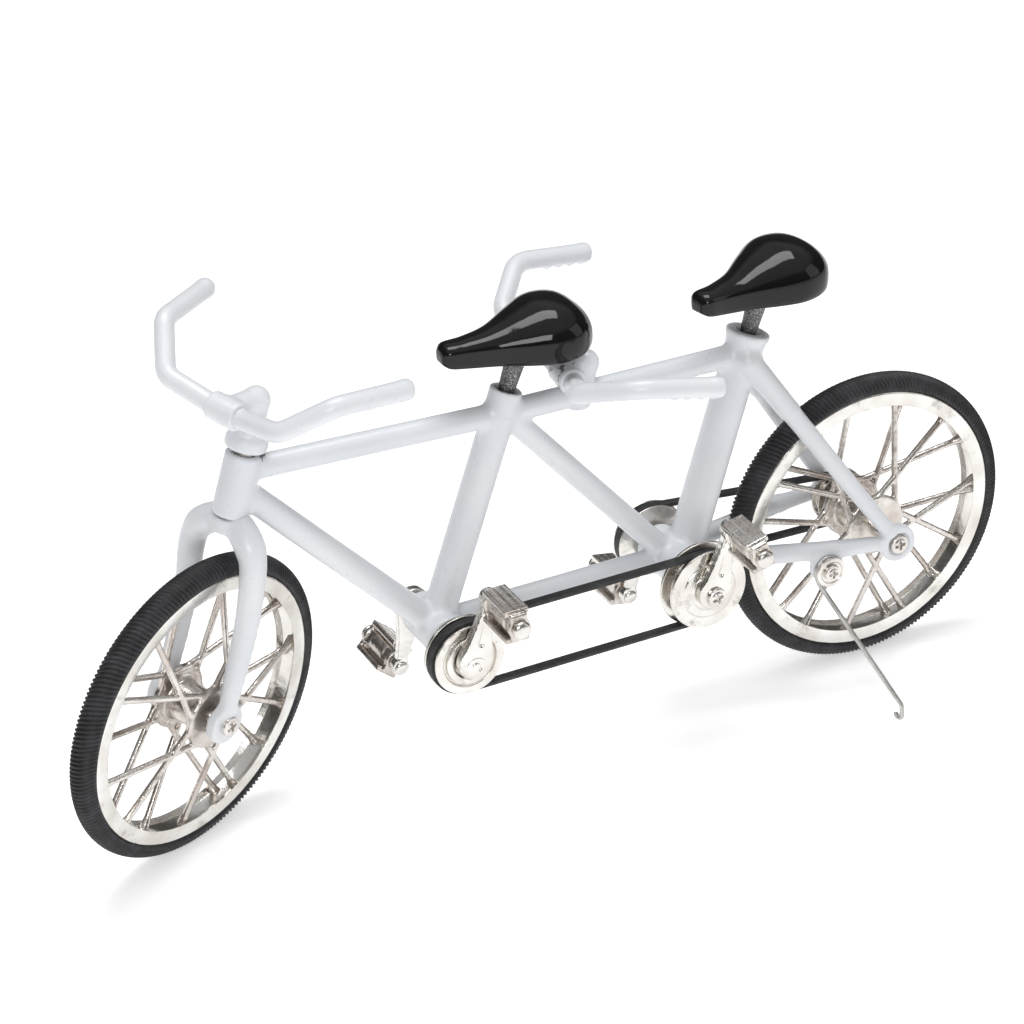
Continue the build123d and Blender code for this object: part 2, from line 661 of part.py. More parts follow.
finish(stem, "stem")


def handlebar(route, bend_radius, grip_length):
    """Bent bar along route, with round ends and finger bumps under each grip."""
    with BuildPart() as tube:
        with BuildLine() as path:
            FilletPolyline(*route, radius=bend_radius)
        with BuildSketch(Plane(origin=path.line @ 0, z_dir=path.line % 0)):
            Circle(handlebar_radius)
        sweep(path=path.line)
        for end, before in ((route[0], route[1]), (route[-1], route[-2])):
            with Locations(end):
                Sphere(handlebar_radius)
            inward = (Vector(before) - Vector(end)).normalized()
            down = (Vector(0, 0, -1) - inward * Vector(0, 0, -1).dot(inward)).normalized()
            for i in range(4):
                with Locations(Vector(end) + inward * (0.4 + i * grip_length / 4) + down * 1.15):
                    Sphere(1.05)
    return tube


clamp_point = (stem_clamp[0], stem_clamp[1])
captain_half = [(*clamp_point[:1], clamp_half_width + 0.6, clamp_point[1]), (131.6, 13.1, 91.0),
                (124.9, 20.0, 96.4), (111.4, 23.4, 94.9)]
captain_route = [turned_point(x, y, z) for x, y, z in reversed(captain_half)]
captain_route += [turned_point(x, -y, z) for x, y, z in captain_half]
captain = handlebar(captain_route, 3.0, 9.0)
finish(captain, "captain_handlebar")

# ================================================================ stoker handlebar on the top tube
stoker_clamp = (63.0, 76.8)
stoker_elbow = (58.9, 78.4)
stoker_skew = -5.0            # the bar sits slightly askew in its clamp
skew_plane = Plane(origin=(stoker_clamp[0], 0, stoker_clamp[1]), x_dir=(1, 0, 0), z_dir=(0, 0, 1))
skew_plane = Plane(skew_plane.location * Location((0, 0, 0), (0, 0, stoker_skew)))


def skewed(x, y, z):
    return skew_plane.from_local_coords(Vector(x - stoker_clamp[0], y, z - stoker_clamp[1]))


with BuildPart() as stoker_stem:
    bar((60.9, 0, top_tube_height - 1.0), (60.3, 0, 75.4), 3.0, 2.6)
    bar((60.3, 0, 75.4), (stoker_elbow[0], 0, stoker_elbow[1]), 2.6, 2.2)
    with Locations((stoker_elbow[0], 0, stoker_elbow[1])):
        Sphere(2.2)
    bar((stoker_elbow[0], 0, stoker_elbow[1]), (stoker_clamp[0], 0, stoker_clamp[1]), 2.2)
    bar(skewed(stoker_clamp[0], -clamp_half_width, stoker_clamp[1]),
        skewed(stoker_clamp[0], clamp_half_width, stoker_clamp[1]), clamp_radius)
    bar(skewed(stoker_clamp[0], -clamp_half_width - 1, stoker_clamp[1]),
        skewed(stoker_clamp[0], clamp_half_width + 1, stoker_clamp[1]), handlebar_radius + seated_fit,
        mode=Mode.SUBTRACT)
    top_tube_rear_space()
finish(stoker_stem, "stoker_stem")

stoker_half = [(stoker_clamp[0], clamp_half_width + 0.6, stoker_clamp[1]), (68.4, 18.0, 82.6),
               (61.1, 28.4, 86.8), (47.2, 30.2, 85.0)]
stoker_route = [skewed(x, y, z) for x, y, z in reversed(stoker_half)]
stoker_route += [skewed(x, -y, z) for x, y, z in stoker_half]
stoker = handlebar(stoker_route, 3.0, 10.0)
finish(stoker, "stoker_handlebar")

# ================================================================ saddles and seat posts
# stations from the nose back: distance, half width, then the heights of the underside, of the top of the
# upright side and of the crown
saddle_stations = ((0.0, 1.7, 1.7, 3.4, 4.2), (1.3, 2.6, 1.0, 3.8, 5.3), (5.0, 3.0, 0.4, 3.6, 5.5),
                   (10.0, 4.3, 0.0, 3.4, 6.3), (15.0, 6.9, -0.2, 3.4, 8.2), (19.5, 8.8, -0.2, 3.6, 9.6),
                   (24.0, 8.5, 0.0, 3.6, 9.1), (27.0, 6.2, 0.5, 3.4, 7.0), (28.3, 3.6, 1.2, 3.2, 5.0))
saddle_rise = 6.6             # seat tube rim to the underside of the saddle
post_reach = 3.0              # how far the post goes into the saddle
saddle_post_station = 15.2    # where the post meets the saddle, from its nose
saddle_yaw = {"front": 0.0, "rear": 13.0}

for name, top, foot in (("front", front_seat_top, front_seat_foot), ("rear", rear_seat_top, rear_seat_foot)):
    along = Vector(top[0] - foot[0], 0, top[1] - foot[1]).normalized()
    rim_point = Vector(top[0], 0, top[1])
    seat_point = rim_point + along * (saddle_rise / along.Z)
    post_top = seat_point + along * post_reach
    with BuildPart() as post:
        bar(rim_point - along * (socket_depth - 3.0), post_top, seat_post_radius)
    finish(post, f"{name}_seat_post")

    yaw = radians(saddle_yaw[name])
    heading = Vector(cos(yaw), sin(yaw), 0)
    with BuildPart() as saddle:
        for distance, half_width, underside, side_top, crown in saddle_stations:
            place = seat_point + heading * (saddle_post_station - distance)
            with BuildSketch(Plane(origin=place, x_dir=(heading.Y, -heading.X, 0), z_dir=-heading)):
                with BuildLine():
                    foot_width = half_width * 0.88
                    Polyline((-half_width, side_top), (-foot_width, underside), (foot_width, underside),
                             (half_width, side_top))
                    ThreePointArc((half_width, side_top), (0, crown), (-half_width, side_top))
                make_face()
        loft()
        bar(rim_point, post_top + along * running_fit, seat_post_radius + running_fit, mode=Mode.SUBTRACT)
    finish(saddle, f"{name}_saddle")

# ================================================================ kickstand
wire_radius = 0.45
bushing_radius = 2.1
washer_radius = 3.1
washer_thickness = 0.6
stand_y = lug_outer + running_gap + wire_radius
screw_face = stand_y + wire_radius + running_gap
with BuildPart() as kickstand_screw:
    across(lug_x, lug_z, lug_outer - lug_thickness, screw_face, screw_shank_radius)
    across(lug_x, lug_z, lug_outer, screw_face, bushing_radius)
    across(lug_x, lug_z, screw_face, screw_face + washer_thickness, washer_radius)
    pan_head(screw_face + washer_thickness, 1, lug_x, lug_z, screw_head_radius, 0.7)
finish(kickstand_screw, "kickstand_screw")

loop_radius = bushing_radius + running_fit + wire_radius
foot_height = 1.9             # lowest point of the wire's centre line
curl_radius = 0.6
foot_x, foot_y = 8.4, 28.6
with BuildPart() as kickstand:
    with BuildLine() as stand_path:
        ring = [Vector(lug_x + loop_radius * cos(radians(angle)), stand_y,
                       lug_z + loop_radius * sin(radians(angle))) for angle in (215, 100, -15)]
        ThreePointArc(*ring)
        knee = ring[-1] + (stand_path.line % 1) * 1.6
        ankle = Vector(foot_x, foot_y, foot_height + 2.8)
        curl_start = Vector(foot_x, foot_y, foot_height + curl_radius)
        inward = Vector(knee.X - foot_x, knee.Y - foot_y, 0).normalized()
        FilletPolyline(ring[-1], knee, ankle, curl_start, radius=0.7)
        ThreePointArc(curl_start, curl_start + inward * curl_radius - Vector(0, 0, curl_radius),
                      curl_start + inward * 2 * curl_radius)
    with BuildSketch(Plane(origin=stand_path.line @ 0, z_dir=stand_path.line % 0)):
        Circle(wire_radius)
    sweep(path=stand_path.line)
finish(kickstand, "kickstand")
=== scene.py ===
"""Looks of the miniature die-cast tandem bicycle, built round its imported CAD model.

Shapes are worked out in millimetres, in the row frame: +X front, +Y left, +Z up, and the origin on the
ground under the rear axle. They are scaled to metres when a mesh is made.
"""

import json
from math import atan2, cos, hypot, pi, radians, sin

import bpy
import numpy as np
from mathutils import Matrix, Vector


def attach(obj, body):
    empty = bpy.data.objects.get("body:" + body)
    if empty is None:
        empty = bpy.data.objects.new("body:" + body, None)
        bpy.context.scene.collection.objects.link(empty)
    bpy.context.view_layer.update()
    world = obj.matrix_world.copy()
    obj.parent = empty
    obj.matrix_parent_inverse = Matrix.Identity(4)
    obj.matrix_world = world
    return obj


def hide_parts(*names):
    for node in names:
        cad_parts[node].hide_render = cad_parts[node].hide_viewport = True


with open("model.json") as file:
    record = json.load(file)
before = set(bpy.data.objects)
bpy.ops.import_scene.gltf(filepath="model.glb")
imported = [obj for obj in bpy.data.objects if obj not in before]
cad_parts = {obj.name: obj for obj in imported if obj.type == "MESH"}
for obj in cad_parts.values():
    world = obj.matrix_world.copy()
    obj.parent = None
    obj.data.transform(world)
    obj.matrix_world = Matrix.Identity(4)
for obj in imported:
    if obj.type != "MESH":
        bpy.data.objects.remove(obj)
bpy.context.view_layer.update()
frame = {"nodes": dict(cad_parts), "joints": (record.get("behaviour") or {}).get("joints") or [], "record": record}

MM = 0.001
FINE = 1.0
joints = {j["name"]: j for j in frame["joints"]}


def place_of(joint):
    return np.array(joints[joint]["pos_m"], float) / MM


def unit(v):
    v = np.asarray(v, float)
    return v / np.linalg.norm(v)


# ---------------------------------------------------------------- materials
class Nodes:
    """Short way to write a node tree."""

    def __init__(self, tree):
        self.tree = tree
        tree.nodes.clear()

    def add(self, kind, settings=None, **inputs):
        node = self.tree.nodes.new(kind)
        for key, value in (settings or {}).items():
            setattr(node, key, value)
        for key, value in inputs.items():
            socket = node.inputs[key.replace("_", " ")]
            if isinstance(value, bpy.types.NodeSocket):
                self.tree.links.new(value, socket)
            else:
                socket.default_value = value
        return node

    def noise(self, coords, scale, detail=3.0, roughness=0.5):
        return self.add("ShaderNodeTexNoise", Vector=coords, Scale=scale, Detail=detail,
                        Roughness=roughness).outputs["Fac"]

    def ramp(self, value, *stops):
        node = self.add("ShaderNodeValToRGB", Fac=value)
        elements = node.color_ramp.elements
        while len(elements) < len(stops):
            elements.new(0.5)
        for element, (position, colour) in zip(elements, stops):
            element.position = position
            element.color = (*colour, 1.0)
        return node.outputs["Color"]

    def span(self, value, low, high, from_low=0.3, from_high=0.7):
        """Maps a value between two others to the range low..high."""
        node = self.add("ShaderNodeMapRange", From_Min=from_low, From_Max=from_high, To_Min=low, To_Max=high,
                        Value=value)
        return node.outputs["Result"]

    def mix(self, factor, a, b):
        node = self.add("ShaderNodeMix", {"data_type": "RGBA"})
        self.tree.links.new(factor, node.inputs["Factor"])
        for socket, value in ((node.inputs[6], a), (node.inputs[7], b)):
            if isinstance(value, bpy.types.NodeSocket):
                self.tree.links.new(value, socket)
            else:
                socket.default_value = (*value, 1.0)
        return node.outputs[2]

    def math(self, operation, a, b):
        node = self.add("ShaderNodeMath", {"operation": operation})
        for socket, value in ((node.inputs[0], a), (node.inputs[1], b)):
            if isinstance(value, bpy.types.NodeSocket):
                self.tree.links.new(value, socket)
            else:
                socket.default_value = value
        return node.outputs[0]

    def bump(self, height, strength, distance):
        return self.add("ShaderNodeBump", Height=height, Strength=strength,
                        Distance=distance).outputs["Normal"]

    def surface(self, **inputs):
        shader = self.add("ShaderNodeBsdfPrincipled", **inputs)
        output = self.add("ShaderNodeOutputMaterial")
        self.tree.links.new(shader.outputs[0], output.inputs["Surface"])


def material(name):
    made = bpy.data.materials.new(name)
    made.use_nodes = True
    nodes = Nodes(made.node_tree)
    return made, nodes, nodes.add("ShaderNodeTexCoord").outputs["Object"]


# centres of rims with worn paint, and how far the wear reaches
WORN_RIMS = (((125.5, 0, 78.6), 3.9), ((25.2, 0, 76.6), 4.6), ((63.0, 0.0, 76.8), 4.0))


def make_paint():
    made, n, coords = material("white_paint")
    broad = n.noise(coords, 60.0, 2.0)
    peel = n.noise(coords, 900.0, 3.0)
    pits = n.noise(coords, 2600.0, 2.0)
    tint = n.ramp(broad, (0.3, (0.70, 0.72, 0.75)), (0.7, (0.755, 0.77, 0.795)))
    # sparse chips down to the dark casting, more of them round the rims where other pieces rub
    chips = n.noise(coords, 330.0, 5.0, 0.62)
    for rim, reach in WORN_RIMS:
        gap = n.add("ShaderNodeVectorMath", {"operation": "DISTANCE"})
        n.tree.links.new(coords, gap.inputs[0])
        gap.inputs[1].default_value = np.array(rim) * MM
        near = n.span(gap.outputs["Value"], 0.16, 0.0, reach * 0.8 * MM, reach * MM)
        chips = n.math("ADD", chips, near)
    dark = n.ramp(chips, (0.735, (0, 0, 0)), (0.755, (1, 1, 1)))
    colour = n.mix(dark, tint, (0.16, 0.15, 0.15))
    height = n.math("ADD", n.math("MULTIPLY", peel, 0.6), n.math("MULTIPLY", pits, 0.25))
    n.surface(Base_Color=colour, Roughness=n.span(peel, 0.26, 0.42), Coat_Weight=0.25, Coat_Roughness=0.2,
              Normal=n.bump(height, 0.35, 0.0002))
    return made


def make_nickel(name, bright, dark, rough_low, rough_high, bump):
    made, n, coords = material(name)
    broad = n.noise(coords, 140.0, 3.0)
    cast = n.noise(coords, 520.0, 4.0, 0.55)
    grain = n.noise(coords, 4200.0, 2.0)
    stains = n.noise(coords, 260.0, 6.0, 0.6)
    colour = n.mix(n.ramp(broad, (0.35, (0, 0, 0)), (0.7, (1, 1, 1))), bright, dark)
    stained = n.ramp(stains, (0.58, (0, 0, 0)), (0.75, (1, 1, 1)))
    soiled = n.mix(stained, colour, tuple(c * 0.62 for c in dark))
    height = n.math("ADD", n.math("MULTIPLY", cast, 0.8), n.math("MULTIPLY", grain, 0.12))
    n.surface(Base_Color=soiled, Metallic=1.0, Roughness=n.span(stains, rough_low, rough_high),
              Normal=n.bump(height, bump, 0.0003))
    return made


def make_black(name, colour, worn, rough_low, rough_high, scale, bump, shine=0.5):
    made, n, coords = material(name)
    broad = n.noise(coords, scale, 4.0, 0.6)
    fine = n.noise(coords, scale * 12.0, 2.0)
    dust = n.ramp(broad, (0.45, (0, 0, 0)), (0.8, (1, 1, 1)))
    n.surface(Base_Color=n.mix(dust, colour, worn), Roughness=n.span(fine, rough_low, rough_high),
              Specular_IOR_Level=shine, Normal=n.bump(fine, bump, 0.0001))
    return made


def make_speckled():
    """Dark plated post with a fine light speckle, as left by blasting."""
    made, n, coords = material("post_steel")
    fine = n.noise(coords, 3800.0, 2.0, 0.7)
    broad = n.noise(coords, 300.0, 3.0)
    colour = n.mix(n.ramp(fine, (0.5, (0, 0, 0)), (0.66, (1, 1, 1))), (0.10, 0.10, 0.105), (0.45, 0.45, 0.44))
    n.surface(Base_Color=colour, Metallic=0.8, Roughness=n.span(broad, 0.38, 0.55),
              Normal=n.bump(fine, 0.5, 0.0002))
    return made


def make_wire():
    made, n, coords = material("stand_wire")
    streaks = n.noise(n.add("ShaderNodeMapping", Vector=coords, Scale=(6.0, 1.0, 1.0)).outputs[0], 900.0, 3.0)
    broad = n.noise(coords, 240.0, 3.0)
    colour = n.mix(n.ramp(broad, (0.35, (0, 0, 0)), (0.7, (1, 1, 1))), (0.56, 0.55, 0.53), (0.36, 0.35, 0.33))
    n.surface(Base_Color=colour, Metallic=1.0, Roughness=n.span(streaks, 0.3, 0.48),
              Normal=n.bump(streaks, 0.3, 0.0001))
    return made


PAINT = make_paint()
NICKEL = make_nickel("nickel", (0.80, 0.79, 0.76), (0.62, 0.58, 0.53), 0.12, 0.30, 0.3)
CAST_NICKEL = make_nickel("cast_nickel", (0.72, 0.69, 0.65), (0.46, 0.40, 0.36), 0.16, 0.36, 0.6)
SCREW = make_nickel("screw_steel", (0.80, 0.78, 0.75), (0.58, 0.54, 0.50), 0.16, 0.32, 0.2)
RUBBER = make_black("tyre_rubber", (0.012, 0.012, 0.014), (0.045, 0.045, 0.05), 0.42, 0.68, 260.0, 0.35)
BELT = make_black("belt_rubber", (0.016, 0.016, 0.017), (0.05, 0.05, 0.05), 0.5, 0.72, 420.0, 0.3)
SADDLE = make_black("saddle_black", (0.005, 0.005, 0.0055), (0.011, 0.011, 0.012), 0.05, 0.11, 120.0, 0.05,
                    shine=0.34)
POST = make_speckled()
WIRE = make_wire()
SLOT_MATERIAL = {"white_paint": PAINT, "nickel": NICKEL, "tyre_rubber": RUBBER, "belt_rubber": BELT,
                 "saddle_black": SADDLE, "post_steel": POST, "stand_wire": WIRE}

slot_of = {part["node"]: part["material_slot"] for part in frame["record"]["subparts"]}
for node, obj in frame["nodes"].items():
    obj.data.materials.clear()
    obj.data.materials.append(SLOT_MATERIAL[slot_of[node]])


# ---------------------------------------------------------------- meshes
def piece(name, vertices, faces, body, slot, stands_for=(), look=None):
    """A visible piece of the object, from a mesh in millimetres."""
    mesh = bpy.data.meshes.new(name)
    mesh.from_pydata(np.asarray(vertices, float) * MM, [], [list(map(int, face)) for face in faces])
    mesh.validate()
    mesh.polygons.foreach_set("use_smooth", [True] * len(mesh.polygons))
    mesh.materials.append(look or SLOT_MATERIAL[slot])
    obj = bpy.data.objects.new(name, mesh)
    bpy.context.scene.collection.objects.link(obj)
    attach(obj, body)
    if stands_for:
        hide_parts(*stands_for)
    return obj


class Frame3:
    """A local frame: an origin and three directions."""

    def __init__(self, origin, x, z):
        self.origin = np.asarray(origin, float)
        self.z = unit(z)
        self.x = unit(np.asarray(x, float) - np.dot(x, self.z) * self.z)
        self.y = np.cross(self.z, self.x)

    def out(self, points):
        points = np.asarray(points, float)
        return self.origin + points @ np.array([self.x, self.y, self.z])


steer_axis = unit(joints["steering_turn"]["axis"])
steer_pivot = place_of("steering_turn")
rest_turn = -radians(sum(joints["steering_turn"]["range_deg"]) / 2)
STEER = np.array(Matrix.Rotation(rest_turn, 3, Vector(steer_axis)))


def steer(points):
    """Carries points of the straight steering round to the rest position."""
    return (np.asarray(points, float) - steer_pivot) @ STEER.T + steer_pivot


class Clay:
    """A signed distance field on a grid, in millimetres, into which solids are blended with soft fillets."""

    FAR = 6.0

    def __init__(self, low, high, step):
        self.low = np.asarray(low, float)
        self.step = step * FINE
        counts = np.ceil((np.asarray(high, float) - self.low) / self.step).astype(int) + 1
        self.axes = [self.low[i] + self.step * np.arange(counts[i]) for i in range(3)]
        self.field = np.full(counts, self.FAR, np.float32)

    def _window(self, low, high, margin):
        cut = []
        for i in range(3):
            first = np.searchsorted(self.axes[i], low[i] - margin)
            last = np.searchsorted(self.axes[i], high[i] + margin)
            cut.append(slice(max(first - 1, 0), min(last + 1, len(self.axes[i]))))
        x, y, z = (self.axes[i][cut[i]] for i in range(3))
        return tuple(cut), np.stack(np.meshgrid(x, y, z, indexing="ij"), -1).astype(np.float32)

    def _join(self, low, high, distance, soft, carve):
        cut, points = self._window(low, high, soft + 2 * self.step)
        if 0 in points.shape:
            return
        new, old = distance(points), self.field[cut]
        if carve:
            share = np.clip(0.5 + 0.5 * (-new - old) / soft, 0, 1)
            self.field[cut] = old * (1 - share) - new * share + soft * share * (1 - share)
        else:
            share = np.clip(0.5 + 0.5 * (old - new) / soft, 0, 1)
            self.field[cut] = old * (1 - share) + new * share - soft * share * (1 - share)

    def bar(self, start, end, radius, end_radius=None, soft=0.8, carve=False):
        """Round bar with round ends, tapering to end_radius."""
        a, b = np.asarray(start, float), np.asarray(end, float)
        end_radius = radius if end_radius is None else end_radius
        reach = max(radius, end_radius)
        along = (b - a).astype(np.float32)
        length2 = float(along @ along)

        def distance(points):
            t = np.clip(((points - a.astype(np.float32)) @ along) / length2, 0, 1)
            gap = points - a.astype(np.float32) - t[..., None] * along
            return np.sqrt((gap * gap).sum(-1)) - (radius + t * (end_radius - radius))

        self._join(np.minimum(a, b) - reach, np.maximum(a, b) + reach, distance, soft, carve)

    def disc(self, start, end, radius, end_radius=None, edge=0.2, soft=0.8, carve=False):
        """Cylinder or cone with flat ends and rounded edges."""
        a, b = np.asarray(start, float), np.asarray(end, float)
        end_radius = radius if end_radius is None else end_radius
        reach = max(radius, end_radius)
        direction = unit(b - a).astype(np.float32)
        half = float(np.linalg.norm(b - a)) / 2
        middle = ((a + b) / 2).astype(np.float32)

        def distance(points):
            gap = points - middle
            along = gap @ direction
            radial = np.sqrt(np.maximum((gap * gap).sum(-1) - along * along, 0))
            local = radius + (np.clip(along / half, -1, 1) + 1) / 2 * (end_radius - radius)
            q0, q1 = radial - local + edge, np.abs(along) - half + edge
            return np.minimum(np.maximum(q0, q1), 0) + np.hypot(np.maximum(q0, 0), np.maximum(q1, 0)) - edge

        self._join(np.minimum(a, b) - reach, np.maximum(a, b) + reach, distance, soft, carve)

    def block(self, centre, half, turn=0.0, edge=0.2, soft=0.3, carve=False):
        """Box with rounded edges, turned by an angle about Z."""
        centre, half = np.asarray(centre, float), np.asarray(half, float)
        reach = float(np.linalg.norm(half))
        c, s = cos(turn), sin(turn)

        def distance(points):
            gap = points - centre.astype(np.float32)
            x, y = gap[..., 0] * c + gap[..., 1] * s, gap[..., 1] * c - gap[..., 0] * s
            q = np.stack([np.abs(x) - half[0] + edge, np.abs(y) - half[1] + edge,
                          np.abs(gap[..., 2]) - half[2] + edge], -1)
            outside = np.sqrt((np.maximum(q, 0) ** 2).sum(-1))
            return outside + np.minimum(q.max(-1), 0) - edge

        self._join(centre - reach, centre + reach, distance, soft, carve)

    def mesh(self, smoothing=2):
        """Quads over the zero level, one vertex in each crossed cell."""
        d = self.field
        inside = d < 0
        cells = np.array(d.shape) - 1
        count = np.zeros(cells, np.int8)
        corners = [(i, j, k) for i in (0, 1) for j in (0, 1) for k in (0, 1)]
        for i, j, k in corners:
            count += inside[i:i + cells[0], j:j + cells[1], k:k + cells[2]]
        crossed = np.argwhere((count > 0) & (count < 8))
        index = np.full(cells, -1, np.int64)
        index[tuple(crossed.T)] = np.arange(len(crossed))
        total, hits = np.zeros((len(crossed), 3)), np.zeros(len(crossed))
        for first in corners:
            for axis in range(3):
                if first[axis]:
                    continue
                second = tuple(1 if i == axis else first[i] for i in range(3))
                da = d[tuple((crossed + first).T)].astype(float)
                db = d[tuple((crossed + second).T)].astype(float)
                cut = (da < 0) != (db < 0)
                share = np.where(cut, da / np.where(cut, da - db, 1), 0)
                point = np.array(first) + share[:, None] * (np.array(second) - np.array(first))
                total[cut] += point[cut]
                hits[cut] += 1
        vertices = self.low + self.step * (crossed + total / hits[:, None])
        faces = []
        for axis in range(3):
            u, v = (axis + 1) % 3, (axis + 2) % 3
            step = [0, 0, 0]
            step[axis] = 1
            here = inside[:d.shape[0] - step[0], :d.shape[1] - step[1], :d.shape[2] - step[2]]
            there = inside[step[0]:, step[1]:, step[2]:]
            for outward in (True, False):
                edges = np.argwhere((here != there) & (here == outward))
                edges = edges[(edges[:, u] > 0) & (edges[:, v] > 0)]
                edges = edges[(edges[:, u] < cells[u]) & (edges[:, v] < cells[v])]
                quad = []
                for du, dv in ((1, 1), (0, 1), (0, 0), (1, 0)):
                    cell = edges.copy()
                    cell[:, u] -= du
                    cell[:, v] -= dv
                    quad.append(index[tuple(cell.T)])
                quad = np.stack(quad, 1)
                faces.append(quad if outward else quad[:, ::-1])
        faces = np.concatenate(faces)
        for _ in range(smoothing):
            vertices = relax(vertices, faces)
        return vertices, faces


def relax(vertices, faces, amount=0.5):
    """One step of smoothing: each vertex moves towards the mean of its neighbours."""
    total = np.zeros_like(vertices)
    hits = np.zeros(len(vertices))
    for i in range(4):
        for j in ((i + 1) % 4, (i + 3) % 4):
            np.add.at(total, faces[:, i], vertices[faces[:, j]])
            np.add.at(hits, faces[:, i], 1)
    return vertices + amount * (total / np.maximum(hits, 1)[:, None] - vertices)


def lathe(place, profile, segments, closed=True):
    """Turns a profile of (radius, height) points about the Z of a local frame."""
    profile = np.asarray(profile, float)
    angles = np.linspace(0, 2 * pi, segments, endpoint=False)
    rings = np.stack([np.outer(np.cos(angles), profile[:, 0]), np.outer(np.sin(angles), profile[:, 0]),
                      np.tile(profile[:, 1], (segments, 1))], -1)
    count = len(profile)
    faces = []
    last = count if closed else count - 1
    for i in range(segments):
        k = (i + 1) % segments
        for j in range(last):
            m = (j + 1) % count
            faces.append((i * count + j, k * count + j, k * count + m, i * count + m))
    if not closed:
        faces.append([i * count for i in range(segments)][::-1])
        faces.append([i * count + count - 1 for i in range(segments)])
    return place.out(rings.reshape(-1, 3)), faces


def round_corner(before, here, after, radius, steps):
    """Points of a smooth bend in place of the corner at here."""
    r = min(radius, 0.45 * np.linalg.norm(before - here), 0.45 * np.linalg.norm(after - here))
    a, b = here + unit(before - here) * r, here + unit(after - here) * r
    shares = [s / steps for s in range(steps + 1)]
    return [(1 - t) ** 2 * a + 2 * t * (1 - t) * here + t * t * b for t in shares]


def rounded(points, radius, steps=3):
    """Rounds the corners of a closed profile."""
    points = [np.asarray(p, float) for p in points]
    out = []
    for i, here in enumerate(points):
        out += round_corner(points[i - 1], here, points[(i + 1) % len(points)], radius, steps)
    return out


def sweep(path, radius, sides=16):
    """Round tube along a path, with flat ends."""
    path = np.asarray(path, float)
    tangent = np.gradient(path, axis=0)
    tangent /= np.linalg.norm(tangent, axis=1)[:, None]
    normal = unit(np.cross(tangent[0], (0.3, 0.2, 1.0)))
    rings, radii = [], np.broadcast_to(np.asarray(radius, float), len(path))
    for i in range(len(path)):
        normal = unit(normal - np.dot(normal, tangent[i]) * tangent[i])
        other = np.cross(tangent[i], normal)
        angles = np.arange(sides) * 2 * pi / sides
        circle = np.outer(np.cos(angles), normal) + np.outer(np.sin(angles), other)
        rings.append(path[i] + radii[i] * circle)
    vertices = np.concatenate(rings)
    faces = [(i * sides + j, i * sides + (j + 1) % sides,
              (i + 1) * sides + (j + 1) % sides, (i + 1) * sides + j)
             for i in range(len(path) - 1) for j in range(sides)]
    faces.append(list(range(sides))[::-1])
    faces.append([(len(path) - 1) * sides + j for j in range(sides)])
    return vertices, faces


def curve_through(points, steps):
    """Catmull-Rom curve through points."""
    p = np.asarray(points, float)
    p = np.vstack([2 * p[0] - p[1], p, 2 * p[-1] - p[-2]])
    out = []
    for i in range(1, len(p) - 2):
        for s in range(steps):
            t = s / steps
            out.append(0.5 * (2 * p[i] + (p[i + 1] - p[i - 1]) * t
                              + (2 * p[i - 1] - 5 * p[i] + 4 * p[i + 1] - p[i + 2]) * t * t
                              + (3 * p[i] - p[i - 1] - 3 * p[i + 1] + p[i + 2]) * t ** 3))
    out.append(p[-2])
    return np.array(out)


# ---------------------------------------------------------------- white castings
head_top, head_bottom = np.array([125.9, 0, 78.2]), steer_pivot
head_axis = unit(head_top - head_bottom)
front_crank, rear_crank = place_of("front_crank_spin"), place_of("rear_crank_spin")
rear_axle = place_of("rear_wheel_spin")
seat_tops = {"front": np.array([75.0, 0, 77.3]), "rear": np.array([25.2, 0, 76.2])}
seat_feet = {"front": np.array([91.5, 0, 32.8]), "rear": np.array([39.6, 0, 32.8])}
post_radius = 1.55
BAR_RADIUS = 1.85            # both handlebars
REAR_SCREW_FACE, FRONT_SCREW_FACE = 12.8, 8.3     # bottoms of the dropouts' counterbores, fork tip faces
AXLE_HOLE = 1.02
CRANK_HOLE = 1.36


def on_seat_tube(end, height):
    top, foot = seat_tops[end], seat_feet[end]
    return foot + (top - foot) * (height - foot[2]) / (top[2] - foot[2])


def across(clay, x, z, y_from, y_to, radius, **options):
    clay.disc((x, y_from, z), (x, y_to, z), radius, **options)


